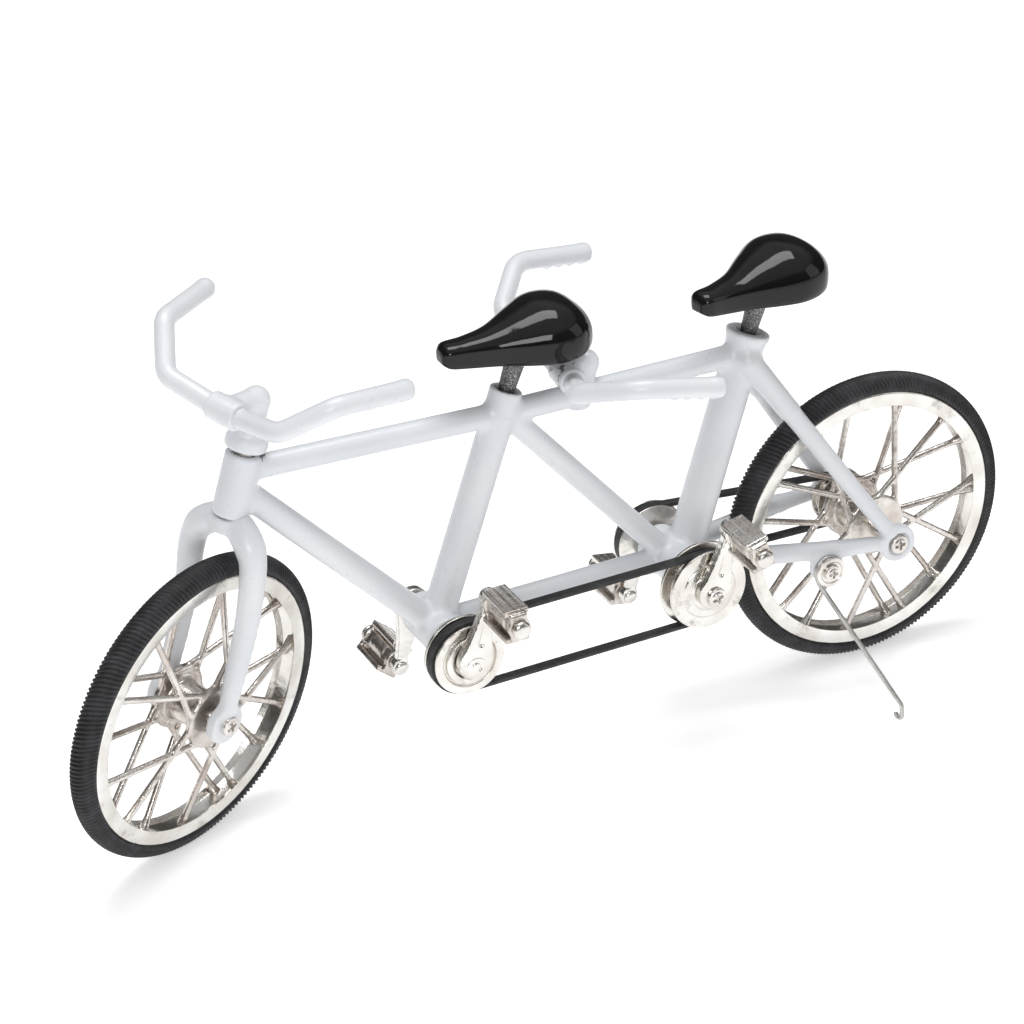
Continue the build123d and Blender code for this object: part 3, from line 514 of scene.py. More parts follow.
def frame_casting():
    clay = Clay((-5, -15.5, 23), (134, 15.5, 81.5), 0.32)
    clay.bar((126.5, 0, 74.9), on_seat_tube("front", 72.6), 2.2)
    clay.bar(on_seat_tube("front", 72.6), on_seat_tube("rear", 71.9), 2.2)
    clay.bar((127.2, 0, 71.3), front_crank, 2.5, soft=1.0)
    clay.bar(rear_crank + (0, 0, 0.5), front_crank + (0, 0, 0.5), 2.3)
    clay.bar(rear_crank, on_seat_tube("front", 73.5), 2.2, soft=1.0)
    clay.disc(head_bottom, head_top, 3.3, edge=0.35, soft=1.2)
    clay.disc(seat_feet["front"], seat_tops["front"], 3.05, edge=0.3, soft=1.0)
    clay.disc(seat_feet["rear"], seat_tops["rear"], 3.5, edge=0.2, soft=1.0)
    for centre in (front_crank, rear_crank):
        across(clay, centre[0], centre[2], -6.0, 6.0, 4.3, edge=0.5, soft=1.2)
    tube = unit(seat_tops["rear"] - seat_feet["rear"])
    rim = seat_tops["rear"]
    clay.disc(rim - tube * 3.4, rim - tube * 0.9, 3.4, 4.15, edge=0.1, soft=0.5)
    clay.disc(rim - tube * 1.1, rim, 4.2, edge=0.25, soft=0.2)
    for hand in (1, -1):
        bend = np.array([12.5, hand * 10.4, 31.0])
        dropout = np.array([0.0, hand * 12.3, 30.0])
        clay.bar((37.5, hand * 3.6, 32.6), bend, 1.95, 1.75, soft=1.2)
        clay.bar(bend, dropout + (1.0, -hand * 0.2, 0.3), 1.75, 1.3, soft=0.6)
        step = np.array([19.8, hand * 5.5, 60.6])
        clay.bar((26.6, hand * 2.8, 71.2), step, 2.3, 2.1, soft=1.5)
        clay.bar(step, dropout + (0.6, -hand * 0.1, 1.2), 1.9, 1.5, soft=0.4)
        across(clay, 0, 30, hand * 11.25, hand * 13.4, 3.7, edge=0.3, soft=0.9)
        # the inner face of the dropout is flat, with the hub close to it
        across(clay, 0, 30, hand * 8.5, hand * 11.2, 4.4, edge=0.1, soft=0.15, carve=True)
        across(clay, 0, 30, hand * 12.8, hand * 15.0, 2.3, edge=0.1, soft=0.15, carve=True)
        across(clay, 0, 30, hand * 9.0, hand * 15.0, AXLE_HOLE, edge=0.05, soft=0.1, carve=True)
    across(clay, 15.3, 28.6, 10.3, 11.9, 2.9, edge=0.3, soft=0.6)
    for end in ("front", "rear"):
        top = seat_tops[end]
        tube = unit(top - seat_feet[end])
        clay.disc(top - tube * 12, top + tube * 1, post_radius + 0.35, post_radius + 0.75, edge=0.05,
                  soft=0.15, carve=True)
    for centre in (front_crank, rear_crank):
        across(clay, centre[0], centre[2], -7, 7, CRANK_HOLE, edge=0.05, soft=0.1, carve=True)
    clay.disc(head_bottom - head_axis * 2, head_top + head_axis * 2, 1.95, edge=0.05, soft=0.1, carve=True)
    vertices, faces = clay.mesh()
    piece("frame_casting", vertices, faces, "frame", "white_paint",
          ("head_tube", "top_tube_front", "top_tube_rear", "down_tube", "diagonal_tube", "boom_tube",
           "front_seat_tube", "rear_seat_tube", "front_bracket", "rear_bracket", "chain_stay_left",
           "chain_stay_right", "seat_stay_left", "seat_stay_right"))


front_axle = np.array([138.6, 0.0, 29.6968])      # with the steering straight
FORK_LEG = ((129.6, 2.6, 65.6), (130.6, 6.2, 62.6), (131.4, 7.35, 58.0), (132.8, 7.4, 49.0),
            (135.4, 7.35, 40.0), (138.2, 7.3, 31.5))
FORK_RADII = (2.5, 2.45, 2.35, 2.15, 1.95, 1.6)


def fork_casting():
    clay = Clay((123, -10, 24.5), (143.5, 10, 71), 0.28)
    crown = head_bottom - head_axis * 1.6
    clay.disc(crown - head_axis * 1.4, head_bottom - head_axis * 0.3, 3.3, edge=0.3, soft=0.8)
    for hand in (1, -1):
        points = curve_through(np.array(FORK_LEG) * (1, hand, 1), 4)
        radii = np.interp(np.linspace(0, 1, len(points)), np.linspace(0, 1, len(FORK_RADII)), FORK_RADII)
        for i in range(len(points) - 1):
            clay.bar(points[i], points[i + 1], radii[i], radii[i + 1], soft=0.9 if i < 5 else 0.3)
        across(clay, front_axle[0], front_axle[2], hand * 6.3, hand * 8.3, 3.9, edge=0.35, soft=0.8)
        x, z = front_axle[0], front_axle[2]
        across(clay, x, z, hand * 3.5, hand * 6.28, 4.6, edge=0.1, soft=0.15, carve=True)
        across(clay, x, z, hand * 4.0, hand * 9.5, AXLE_HOLE, edge=0.05, soft=0.1, carve=True)
    vertices, faces = clay.mesh()
    steerer = lathe(Frame3(head_bottom - head_axis, (0, 1, 0), head_axis),
                    rounded([(0.01, 0), (1.8, 0), (1.8, 15.9), (0.01, 15.9)], 0.2), 40)
    piece("fork_casting", steer(vertices), faces, "steering", "white_paint", ("fork",))
    piece("steerer", steer(steerer[0]), steerer[1], "steering", "white_paint", look=CAST_NICKEL)


def grip(clay, end, before, length):
    """The end of a bar: a little thicker, with finger bumps along the underside."""
    inward = unit(before - end)
    down = unit(np.array([0, 0, -1.0]) + inward * inward[2])
    clay.disc(end - inward * 1.5, end + inward * (length * 0.1), BAR_RADIUS + 0.03, edge=0.6, soft=0.3)
    for i in range(4):
        middle = end + inward * (0.2 + i * length / 4.2) + down * 1.5
        clay.bar(middle - inward * 0.1, middle + inward * 0.1, 0.85, soft=0.12)


def handlebar(clay, half, bend, grip_length):
    """Bar through half, which starts in the mid-plane, and its mirror image, with round bends and grips."""
    half = np.array(half, float)
    corners = np.vstack([half[:0:-1], half * (1, -1, 1)])
    points = [corners[0]]
    for before, here, after in zip(corners, corners[1:], corners[2:]):
        points += round_corner(before, here, after, bend, 8)
    points.append(corners[-1])
    for start, end in zip(points, points[1:]):
        clay.bar(start, end, BAR_RADIUS, soft=0.05)
    for hand in (1, -1):
        grip(clay, half[-1] * (1, hand, 1), half[-2] * (1, hand, 1), grip_length)


# corners of each handlebar's left half, from its clamp in the mid-plane to its end
CAPTAIN_HALF = ((130.4, 0.0, 89.0), (130.4, 3.8, 89.0), (131.6, 13.1, 91.0), (124.9, 20.0, 96.4),
                (111.4, 23.4, 94.9))
STOKER_HALF = ((63.0, 0.0, 76.8), (63.0, 3.8, 76.8), (68.4, 18.0, 82.6), (61.1, 28.4, 86.8),
               (47.2, 30.2, 85.0))


def captain_bar():
    clay = Clay((107, -28, 74), (137, 28, 101), 0.28)
    handlebar(clay, CAPTAIN_HALF, 1.8, 9.0)
    vertices, faces = clay.mesh()
    piece("captain_bar", steer(vertices), faces, "steering", "white_paint", ("captain_handlebar",))

    clay = Clay((118, -5, 76), (136, 5, 94), 0.25)
    low = head_top + head_axis * 0.9
    elbow = head_top + head_axis * 10.0
    clamp = np.array(CAPTAIN_HALF[0])
    clay.disc(low, low + head_axis * 2.6, 3.9, 3.8, edge=0.7, soft=0.5)
    clay.disc(low + head_axis * 2, low + head_axis * 4.6, 3.1, 2.9, edge=0.4, soft=0.8)
    clay.bar(low + head_axis * 2, elbow, 2.7, 2.35, soft=1.0)
    clay.bar(elbow, clamp, 2.35, 2.3, soft=0.8)
    across(clay, clamp[0], clamp[2], -3.2, 3.2, 2.6, edge=0.35, soft=0.7)
    vertices, faces = clay.mesh()
    piece("stem_casting", steer(vertices), faces, "steering", "white_paint", ("stem",))


def stoker_bar():
    turn = radians(-5.0)
    clamp = np.array(STOKER_HALF[0])

    def skew(points):
        gap = np.asarray(points, float) - clamp
        x = gap[:, 0] * cos(turn) - gap[:, 1] * sin(turn)
        y = gap[:, 0] * sin(turn) + gap[:, 1] * cos(turn)
        return np.stack([x, y, gap[:, 2]], 1) + clamp

    clay = Clay((43, -35, 73), (73, 35, 91), 0.28)
    handlebar(clay, STOKER_HALF, 2.8, 10.0)
    vertices, faces = clay.mesh()
    piece("stoker_bar", skew(vertices), faces, "frame", "white_paint", ("stoker_handlebar",))

    clay = Clay((54, -6, 70), (68, 6, 83), 0.25)
    clay.bar((60.9, 0, 72.0), (60.3, 0, 75.4), 2.9, 2.6, soft=0.6)
    clay.bar((60.3, 0, 75.4), (58.9, 0, 78.4), 2.6, 2.2, soft=0.8)
    clay.bar((58.9, 0, 78.4), clamp, 2.2, soft=0.8)
    ends = skew([clamp - (0, 3.2, 0), clamp + (0, 3.2, 0)])
    clay.disc(ends[0], ends[1], 2.5, edge=0.3, soft=0.7)
    vertices, faces = clay.mesh()
    piece("stoker_stem_casting", vertices, faces, "frame", "white_paint", ("stoker_stem",))


frame_casting()
fork_casting()
captain_bar()
stoker_bar()

# ---------------------------------------------------------------- wheels
TYRE_R, RIM_R, RIM_IN = 30.0, 26.9, 23.9
HUB_FLANGE, HUB_OFFSET = 6.2, 4.3
rear_place = Frame3(rear_axle, (-1, 0, 0), (0, 1, 0))
front_spot = steer(front_axle[None])[0]
front_place = Frame3(front_spot, STEER @ (-1, 0, 0), STEER @ (0, 1, 0))
SPOKES = ((1, 44.0, 40.0), (1, 3.5, -40.0), (-1, 24.0, 40.0), (-1, -3.5, -40.0))


def rim_profile():
    half, groove = 2.3, 1.7
    return rounded([(RIM_IN, half), (RIM_R - 0.35, half + 0.12), (RIM_R, half - 0.1), (RIM_R, groove),
                    (25.8, groove), (25.8, -groove), (RIM_R, -groove), (RIM_R, -half + 0.1),
                    (RIM_R - 0.35, -half - 0.12), (RIM_IN, -half), (24.7, -1.3), (24.7, 1.3)], 0.14, 2)


def wheel_web():
    """Hub flanges and the cast crossing spokes, in the wheel's own frame."""
    clay = Clay((-25.6, -25.6, -6.2), (25.6, 25.6, 6.2), 0.3)
    for fifth in range(5):
        for flange, end_angle, lean in SPOKES:
            end = radians(end_angle + fifth * 72)
            root = end + radians(lean)
            start = np.array([5.6 * cos(root), 5.6 * sin(root), flange * HUB_OFFSET])
            stop = np.array([25.1 * cos(end), 25.1 * sin(end), flange * 0.75])
            clay.bar(start, stop, 0.62, 0.66, soft=0.12)
            # foot where the spoke runs into the rim
            clay.bar(stop - unit(stop - start) * 1.3, stop, 0.75, 1.05, soft=0.5)
    for hand in (1, -1):
        clay.disc((0, 0, hand * (HUB_OFFSET - 0.7)), (0, 0, hand * (HUB_OFFSET + 0.7)), HUB_FLANGE,
                  edge=0.35, soft=0.35)
    clay.disc((0, 0, -HUB_OFFSET), (0, 0, HUB_OFFSET), 3.8, edge=0.2, soft=0.9)
    clay.disc((0, 0, -7), (0, 0, 7), 1.3, edge=0.05, soft=0.1, carve=True)
    return clay.mesh(1)


def tyre_mesh(place, ribs=210):
    """Tyre with fine slanting ribs over its tread."""
    arc = 22
    span = np.linspace(-1, 1, arc)
    low, half = 26.92, 2.45
    angle = span * radians(88)
    crown_r, crown_w = TYRE_R - low, 2.7
    section = np.stack([low + crown_r * np.cos(angle) ** 0.8, crown_w * np.sin(angle)], 1)
    section = np.vstack([section, [(low, 1.66), (25.85, 1.66), (25.85, -1.66), (low, -1.66)]])
    around = ribs * 6
    theta = np.arange(around) * 2 * pi / around
    rings = []
    for i, t in enumerate(theta):
        ring = section.copy()
        phase = ribs * t + 9.0 * span
        cut = 0.5 - 0.5 * np.tanh(2.2 * np.cos(phase) + 0.6)
        where = np.clip((1 - np.abs(span)) / 0.18, 0, 1)
        depth = 0.42 * cut * where
        normal = np.stack([np.cos(angle), np.sin(angle)], 1)
        ring[:arc] -= normal * depth[:, None]
        rings.append(np.stack([ring[:, 0] * cos(t), ring[:, 0] * sin(t), ring[:, 1]], 1))
    count = len(section)
    vertices = np.concatenate(rings)
    faces = [(i * count + j, ((i + 1) % around) * count + j, ((i + 1) % around) * count + (j + 1) % count,
              i * count + (j + 1) % count) for i in range(around) for j in range(count)]
    return place.out(vertices), faces


web_vertices, web_faces = wheel_web()
for end, place, reach in (("front", front_place, 6.0), ("rear", rear_place, 10.9)):
    body = f"{end}_wheel"
    vertices, faces = lathe(place, rim_profile(), 180)
    piece(f"{end}_rim_casting", vertices, faces, body, "nickel", (f"{end}_rim",))
    piece(f"{end}_wheel_web", place.out(web_vertices), web_faces, body, "nickel", (f"{end}_spokes",),
          look=CAST_NICKEL)
    profile = rounded([(1.06, -reach), (1.9, -reach), (1.9, reach), (1.06, reach)], 0.15, 2)
    vertices, faces = lathe(place, profile, 48)
    piece(f"{end}_hub_sleeve", vertices, faces, body, "nickel", (f"{end}_hub",))
    vertices, faces = tyre_mesh(place)
    piece(f"{end}_ribbed_tyre", vertices, faces, body, "tyre_rubber", (f"{end}_tyre",))


# ---------------------------------------------------------------- screws
def screw_mesh(radius, height):
    """Pan head with a cross recess, its seat at z = 0."""
    clay = Clay((-radius - 0.5, -radius - 0.5, -0.4), (radius + 0.5, radius + 0.5, height + 0.6), 0.09)
    clay.disc((0, 0, 0), (0, 0, height * 0.8), radius, radius - 0.12, edge=0.12, soft=0.1)
    clay.disc((0, 0, height * 0.4), (0, 0, height), radius * 0.62, edge=0.3, soft=0.35)
    for turn in (0.0, pi / 2):
        clay.block((0, 0, height), (radius * 0.56, radius * 0.14, height * 0.62), turn, edge=0.03, soft=0.05,
                   carve=True)
    clay.disc((0, 0, height * 0.35), (0, 0, height * 1.6), radius * 0.2, radius * 0.34, edge=0.02, soft=0.06,
              carve=True)
    return clay.mesh(1)


SCREW_MESH = screw_mesh(1.95, 1.1)


def facing(x, y, z, hand=1):
    """A local frame at a point whose Z looks along hand * Y."""
    return Frame3((x, y, z), (1, 0, 0), (0, hand, 0))


def merged(parts):
    vertices, faces, base = [], [], 0
    for v, f in parts:
        vertices.append(np.asarray(v, float))
        faces += [[index + base for index in face] for face in f]
        base += len(v)
    return np.concatenate(vertices), faces


def screws(name, places, body, turns, node):
    """Screw heads in one piece, each with its own turn of the recess."""
    parts = []
    for place, turn in zip(places, turns):
        spun = SCREW_MESH[0] @ np.array(Matrix.Rotation(-turn, 3, "Z"))
        parts.append((place.out(spun), SCREW_MESH[1]))
    vertices, faces = merged(parts)
    piece(name, vertices, faces, body, "nickel", (node,), look=SCREW)


rear_faces, front_faces = [], []
for hand in (1, -1):
    rear_faces.append(facing(0, hand * REAR_SCREW_FACE, rear_axle[2], hand))
    spot = steer(np.array([[front_axle[0], hand * FRONT_SCREW_FACE, front_axle[2]]]))[0]
    front_faces.append(Frame3(spot, STEER @ (1, 0, 0), STEER @ (0, hand, 0)))
screws("rear_axle_screw_heads", rear_faces, "frame", (0.1, 0.6), "rear_axle_screws")
screws("front_axle_screw_heads", front_faces, "steering", (0.2, 0.5), "front_axle_screws")


# ---------------------------------------------------------------- cranksets
LEFT_ANGLE = radians(105.0)
CRANK = 13.5
ARM_Y = {"left": 15.0, "front_right": -9.0, "rear_right": -10.5}
ARM_THICKNESS, PEDAL_LENGTH, END_GAP = 1.8, 11.2, 0.3


def pulley(name, centre, profile, body, node):
    vertices, faces = lathe(facing(centre[0], 0, centre[2]), rounded(profile, 0.16), 120)
    piece(name, vertices, faces, body, "nickel", (node,))


pulley("front_timing_wheel", front_crank,
       [(1.33, 6.3), (3.0, 6.3), (3.2, 10.7), (7.6, 10.75), (7.6, 11.45), (6.4, 11.45), (6.4, 13.55),
        (6.9, 13.55), (6.9, 14.3), (5.35, 14.35), (5.1, 13.85), (4.85, 13.85), (4.7, 14.7), (3.5, 14.75),
        (3.2, 14.1), (1.33, 14.1)], "front_crankset", "front_timing_pulley")
pulley("rear_timing_wheel", rear_crank,
       [(1.33, 6.3), (3.0, 6.3), (3.2, 10.7), (8.6, 10.75), (8.6, 11.45), (6.4, 11.45), (6.4, 13.55),
        (7.9, 13.55), (7.9, 14.2), (5.6, 14.3), (5.3, 14.6), (3.9, 14.65), (3.6, 14.9), (1.33, 14.9)],
       "rear_crankset", "rear_timing_pulley")
pulley("rear_drive_wheel", rear_crank,
       [(1.33, -6.3), (3.0, -6.3), (3.2, -6.95), (7.4, -7.0), (7.4, -7.3), (6.3, -7.3), (6.3, -9.4),
        (7.4, -9.4), (7.4, -9.75), (5.0, -9.8), (4.7, -9.6), (1.33, -9.6)][::-1],
       "rear_crankset", "rear_drive_pulley")
pulley("hub_wheel", rear_axle,
       [(1.95, -5.02), (3.2, -5.02), (3.4, -6.9), (5.7, -7.0), (5.7, -7.3), (4.6, -7.3), (4.6, -9.4),
        (5.7, -9.4), (5.7, -9.75), (1.95, -9.8)][::-1], "rear_wheel", "rear_hub_pulley")


def crank_mesh(outline_y, hand, angle, centre):
    """Teardrop arm in its own place: boss, tapering blade and a raised eye."""
    low, high = sorted((outline_y, outline_y + hand * ARM_THICKNESS))
    eye = centre + CRANK * np.array([cos(angle), 0, sin(angle)])
    corners = np.array([centre, eye])
    clay = Clay(corners.min(0) - (3.6, 0, 3.6) + (0, low - 0.8, 0),
                corners.max(0) + (3.6, 0, 3.6) + (0, high + 0.8, 0), 0.17)
    at = lambda t, y: centre + t * (eye - centre) + (0, y, 0)
    face = outline_y + hand * ARM_THICKNESS
    clay.disc(at(0, low), at(0, high), 2.75, edge=0.3, soft=0.1)
    clay.disc(at(1, low), at(1, high), 1.75, edge=0.25, soft=0.2)
    for i in range(10):
        t = (i + 0.5) / 10
        width = 2.6 * (1 - t) ** 1.7 + 1.05
        clay.disc(at(t, low + 0.05), at(t, high - 0.05), width, edge=0.25, soft=0.5)
    # shallow lengthwise hollow in the blade, as cast
    clay.bar(at(0.34, face + hand * 0.42), at(0.8, face + hand * 0.42), 0.62, 0.5, soft=0.25, carve=True)
    clay.disc(at(1, low - 1), at(1, high + 1), 0.84, edge=0.02, soft=0.06, carve=True)
    clay.disc(at(0, low - 1), at(0, high + 1), 1.34, edge=0.02, soft=0.06, carve=True)
    return clay.mesh(1)


def crank_cap():
    """Low cap with a crescent dimple, where the front arm has no screw."""
    clay = Clay((-2.4, -2.4, -0.3), (2.4, 2.4, 0.9), 0.09)
    clay.disc((0, 0, -0.1), (0, 0, 0.3), 1.95, edge=0.14, soft=0.1)
    for i in range(15):
        angle = radians(-50 - i * 13)
        start, stop = ((reach * cos(angle), reach * sin(angle), 0.34) for reach in (0.95, 0.96))
        clay.bar(start, stop, 0.22, soft=0.04, carve=True)
    return clay.mesh(1)


def pedal_mesh():
    """Pedal along +Z from its crank: two ribbed tread plates, a square barrel and two end plates."""
    length = PEDAL_LENGTH
    clay = Clay((-3.4, -4.0, -0.5), (3.4, 4.0, length + 0.5), 0.17)
    clay.block((0, 0, length / 2), (1.55, 1.6, length / 2), edge=0.45, soft=0.2)
    clay.disc((0, 0, 3.0), (0, 0, length - 3.0), 1.95, edge=0.2, soft=0.4)
    for up in (1, -1):
        clay.block((0, up * 2.75, length / 2), (2.35, 0.52, length / 2 - 0.9), edge=0.16, soft=0.25)
        clay.block((0, up * 1.9, length / 2), (0.75, 0.8, length / 2 - 1.0), edge=0.1, soft=0.35)
        for i in range(3):
            clay.block(((i - 1) * 1.45, up * 3.32, length / 2), (0.2, 0.16, length / 2 - 1.5),
                       edge=0.05, soft=0.08, carve=True)
    for middle in (0.6, length - 0.6):
        clay.block((0, 0, middle), (1.7, 2.7, 0.58), edge=0.35, soft=0.25)
        clay.disc((0, 0, middle - 0.58), (0, 0, middle + 0.58), 2.15, edge=0.25, soft=0.2)
    clay.disc((0, 0, -1), (0, 0, length + 1), 0.86, edge=0.02, soft=0.05, carve=True)
    return clay.mesh(1)


PEDAL = pedal_mesh()
CAP = crank_cap()
PEDAL_TILT = {"front_left": 0, "front_right": 40, "rear_left": -15, "rear_right": 10}
for end, centre in (("front", front_crank), ("rear", rear_crank)):
    body = f"{end}_crankset"
    pins = []
    for side, hand, arm_y, angle in (("left", 1, ARM_Y["left"], LEFT_ANGLE),
                                     ("right", -1, ARM_Y[f"{end}_right"], LEFT_ANGLE - pi)):
        name = f"{end}_{side}"
        vertices, faces = crank_mesh(arm_y, hand, angle, centre * (1, 0, 1))
        piece(f"{name}_arm", vertices, faces, body, "nickel", (f"{name}_crank",))
        eye = centre * (1, 0, 1) + CRANK * np.array([cos(angle), 0, sin(angle)])
        start = arm_y + hand * (ARM_THICKNESS + END_GAP)
        tilt = radians(PEDAL_TILT[name])
        place = Frame3(eye + (0, start, 0), (cos(tilt), 0, sin(tilt)), (0, hand, 0))
        piece(f"{name}_pedal_casting", place.out(PEDAL[0]), PEDAL[1], f"{name}_pedal", "nickel",
              (f"{name}_pedal",), look=CAST_NICKEL)
        pin_place = Frame3(eye + (0, arm_y, 0), (1, 0, 0), (0, hand, 0))
        last = ARM_THICKNESS + END_GAP + PEDAL_LENGTH + END_GAP
        profile = [(0.001, -0.7), (0.9, -0.68), (1.25, -0.45), (1.3, -0.05), (0.8, 0), (0.8, last),
                   (1.55, last), (1.75, last + 0.3), (1.72, last + 0.7), (1.45, last + 1.05),
                   (0.9, last + 1.25), (0.001, last + 1.3)]
        pins.append(lathe(pin_place, profile, 40, closed=False))
    vertices, faces = merged(pins)
    piece(f"{end}_pedal_rivets", vertices, faces, body, "nickel", (f"{end}_pedal_pins",), look=SCREW)
face_y = ARM_Y["left"] + ARM_THICKNESS
piece("front_crank_cap", facing(front_crank[0], face_y, front_crank[2]).out(CAP[0]), CAP[1],
      "front_crankset", "nickel", ("front_crank_screw",))
screws("rear_crank_screw_head", [facing(rear_crank[0], face_y, rear_crank[2])], "rear_crankset", (0.35,),
       "rear_crank_screw")


# ---------------------------------------------------------------- belts
BELT_GAP, BELT_HALF, BELT_REACH = 0.15, 0.4, 0.9      # gap to the groove, half thickness, half width


def belt_loop(name, y, start, start_radius, end, end_radius, node):
    """Closed belt round two pulleys, with rounded edges."""
    gap = end - start
    distance, heading = hypot(gap[0], gap[2]), atan2(gap[2], gap[0])
    flare = np.arcsin((start_radius - end_radius) / distance)
    offset = BELT_GAP + BELT_HALF
    points, normals = [], []

    def arc(centre, radius, first, last, count):
        for angle in np.linspace(first, last, count):
            normal = np.array([cos(angle), 0, sin(angle)])
            normals.append(normal)
            points.append(centre * (1, 0, 1) + normal * (radius + offset) + (0, y, 0))

    upper, lower = heading + pi / 2 - flare, heading - pi / 2 + flare
    arc(start, start_radius, upper, lower + 2 * pi, 40)
    arc(end, end_radius, lower + 2 * pi, upper + 2 * pi, 40)
    # the straight runs get points of their own, so that the surface stays even
    path, across_path = [], []
    count = len(points)
    for i in range(count):
        path.append(points[i])
        across_path.append(normals[i])
        step = points[(i + 1) % count] - points[i]
        if np.linalg.norm(step) > 5:
            for s in range(1, 24):
                path.append(points[i] + step * s / 24)
                across_path.append(normals[i])
    section = np.array(rounded([(-BELT_HALF, -BELT_REACH), (BELT_HALF, -BELT_REACH),
                                (BELT_HALF, BELT_REACH), (-BELT_HALF, BELT_REACH)], 0.16))
    sides = len(section)
    vertices = [p + n * u + np.array([0, v, 0]) for p, n in zip(path, across_path) for u, v in section]
    total = len(path)
    faces = [(i * sides + j, i * sides + (j + 1) % sides, ((i + 1) % total) * sides + (j + 1) % sides,
              ((i + 1) % total) * sides + j) for i in range(total) for j in range(sides)]
    piece(name, vertices, faces, "frame", "belt_rubber", (node,))


belt_loop("crank_belt", 12.5, rear_crank, 6.4, front_crank, 6.4, "timing_belt")
belt_loop("wheel_belt", -8.35, rear_axle, 4.6, rear_crank, 6.3, "drive_belt")

# ---------------------------------------------------------------- saddles and posts
# distance from the nose, half width, underside, top of the upright side, crown
SADDLE = np.array([(-0.25, 1.0, 2.1, 3.0, 3.5), (0.1, 1.75, 1.6, 3.5, 4.4), (1.3, 2.6, 1.0, 3.8, 5.3),
                   (5.0, 3.0, 0.4, 3.6, 5.4), (10.0, 4.3, 0.0, 3.4, 6.1), (15.0, 6.9, -0.2, 3.4, 8.1),
                   (19.5, 8.8, -0.2, 3.6, 9.6), (24.0, 8.5, 0.0, 3.6, 9.1), (27.0, 6.2, 0.5, 3.4, 7.0),
                   (28.2, 3.9, 1.1, 3.2, 5.2), (28.55, 1.8, 1.7, 2.9, 3.9)])
SADDLE_RISE, POST_STATION = 6.6, 15.2


def saddle_mesh():
    """Shell over the stations, its nose towards +X and the post's axis at the origin."""
    stations = curve_through(SADDLE, 8)
    rings = []
    for distance, half, under, side, crown in stations:
        ring = [(-half * 0.80, under), (half * 0.80, under), (half * 0.90, under + 0.12),
                (half * 0.965, under + 0.45)]
        ring += [(half, under + (side - under) * 0.5)]
        for s in range(17):
            angle = pi * s / 16
            wide = np.sign(cos(angle)) * abs(cos(angle)) ** 0.9
            ring.append((half * wide, side + (crown - side) * sin(angle) ** 1.05 if 0 < s < 16 else side))
        ring += [(-half, under + (side - under) * 0.5), (-half * 0.965, under + 0.45),
                 (-half * 0.90, under + 0.12)]
        rings.append([(POST_STATION - distance, y, z) for y, z in ring])
    count = len(rings[0])
    vertices = np.array(rings).reshape(-1, 3)
    faces = [(i * count + j, (i + 1) * count + j,
              (i + 1) * count + (j + 1) % count, i * count + (j + 1) % count)
             for i in range(len(rings) - 1) for j in range(count)]
    faces.append(list(range(count)))
    faces.append([(len(rings) - 1) * count + j for j in range(count)][::-1])
    return vertices, faces


saddle_vertices, saddle_faces = saddle_mesh()
for end, yaw in (("front", 0.0), ("rear", radians(13.0))):
    top, foot = seat_tops[end], seat_feet[end]
    tube = unit(top - foot)
    seat = top + tube * (SADDLE_RISE / tube[2])
    turn = np.array(Matrix.Rotation(yaw, 3, "Z"))
    obj = piece(f"{end}_saddle_shell", saddle_vertices @ turn.T + seat, saddle_faces, f"{end}_seat",
                "saddle_black", (f"{end}_saddle",))
    smooth = obj.modifiers.new("smooth", "SUBSURF")
    smooth.levels = smooth.render_levels = 1
    profile = [(0.01, -9.0), (1.35, -9.0), (1.5, -8.7), (1.52, 0), (1.6, 0.4), (1.75, 3.0), (1.92, 5.6),
               (1.95, 8.6), (0.01, 9.4)]
    vertices, faces = lathe(Frame3(top, (0, 1, 0), tube), profile, 48, closed=False)
    piece(f"{end}_post_taper", vertices, faces, f"{end}_post", "post_steel", (f"{end}_seat_post",))

# ---------------------------------------------------------------- kickstand
LUG = np.array([15.3, 0, 28.6])
STAND_Y, WIRE_R, LOOP_R = 12.65, 0.45, 2.6
FOOT = np.array([8.4, 28.6, 1.9])
CURL = 0.6
BUSHING_Y, WASHER_Y, HEAD_Y = 11.9, 14.0, 13.9      # foot of the bushing, top of its washer, screw's seat


def kickstand_path():
    ring = [LUG + (LOOP_R * cos(a), STAND_Y, LOOP_R * sin(a)) for a in np.radians(np.linspace(215, -15, 34))]
    leaving = unit(ring[-1] - ring[-2])
    knee = ring[-1] + leaving * 1.6
    ankle = FOOT + (0, 0, 2.8)
    curl_start = FOOT + (0, 0, CURL)
    points = list(ring)
    for before, here, after in ((ring[-1], knee, ankle), (knee, ankle, curl_start)):
        a, b = here + unit(before - here) * 0.7, here + unit(after - here) * 0.7
        if before is not ring[-1]:
            start = points[-1]
            points += [start + (a - start) * s / 30 for s in range(1, 30)]
        points += [(1 - t) ** 2 * a + 2 * t * (1 - t) * here + t * t * b for t in np.linspace(0, 1, 7)]
    inward = unit((knee - FOOT) * (1, 1, 0))
    middle = curl_start + inward * CURL
    for angle in np.linspace(pi, 2 * pi + 0.5, 16):
        points.append(middle + inward * CURL * cos(angle) + np.array([0, 0, CURL * sin(angle)]))
    return points


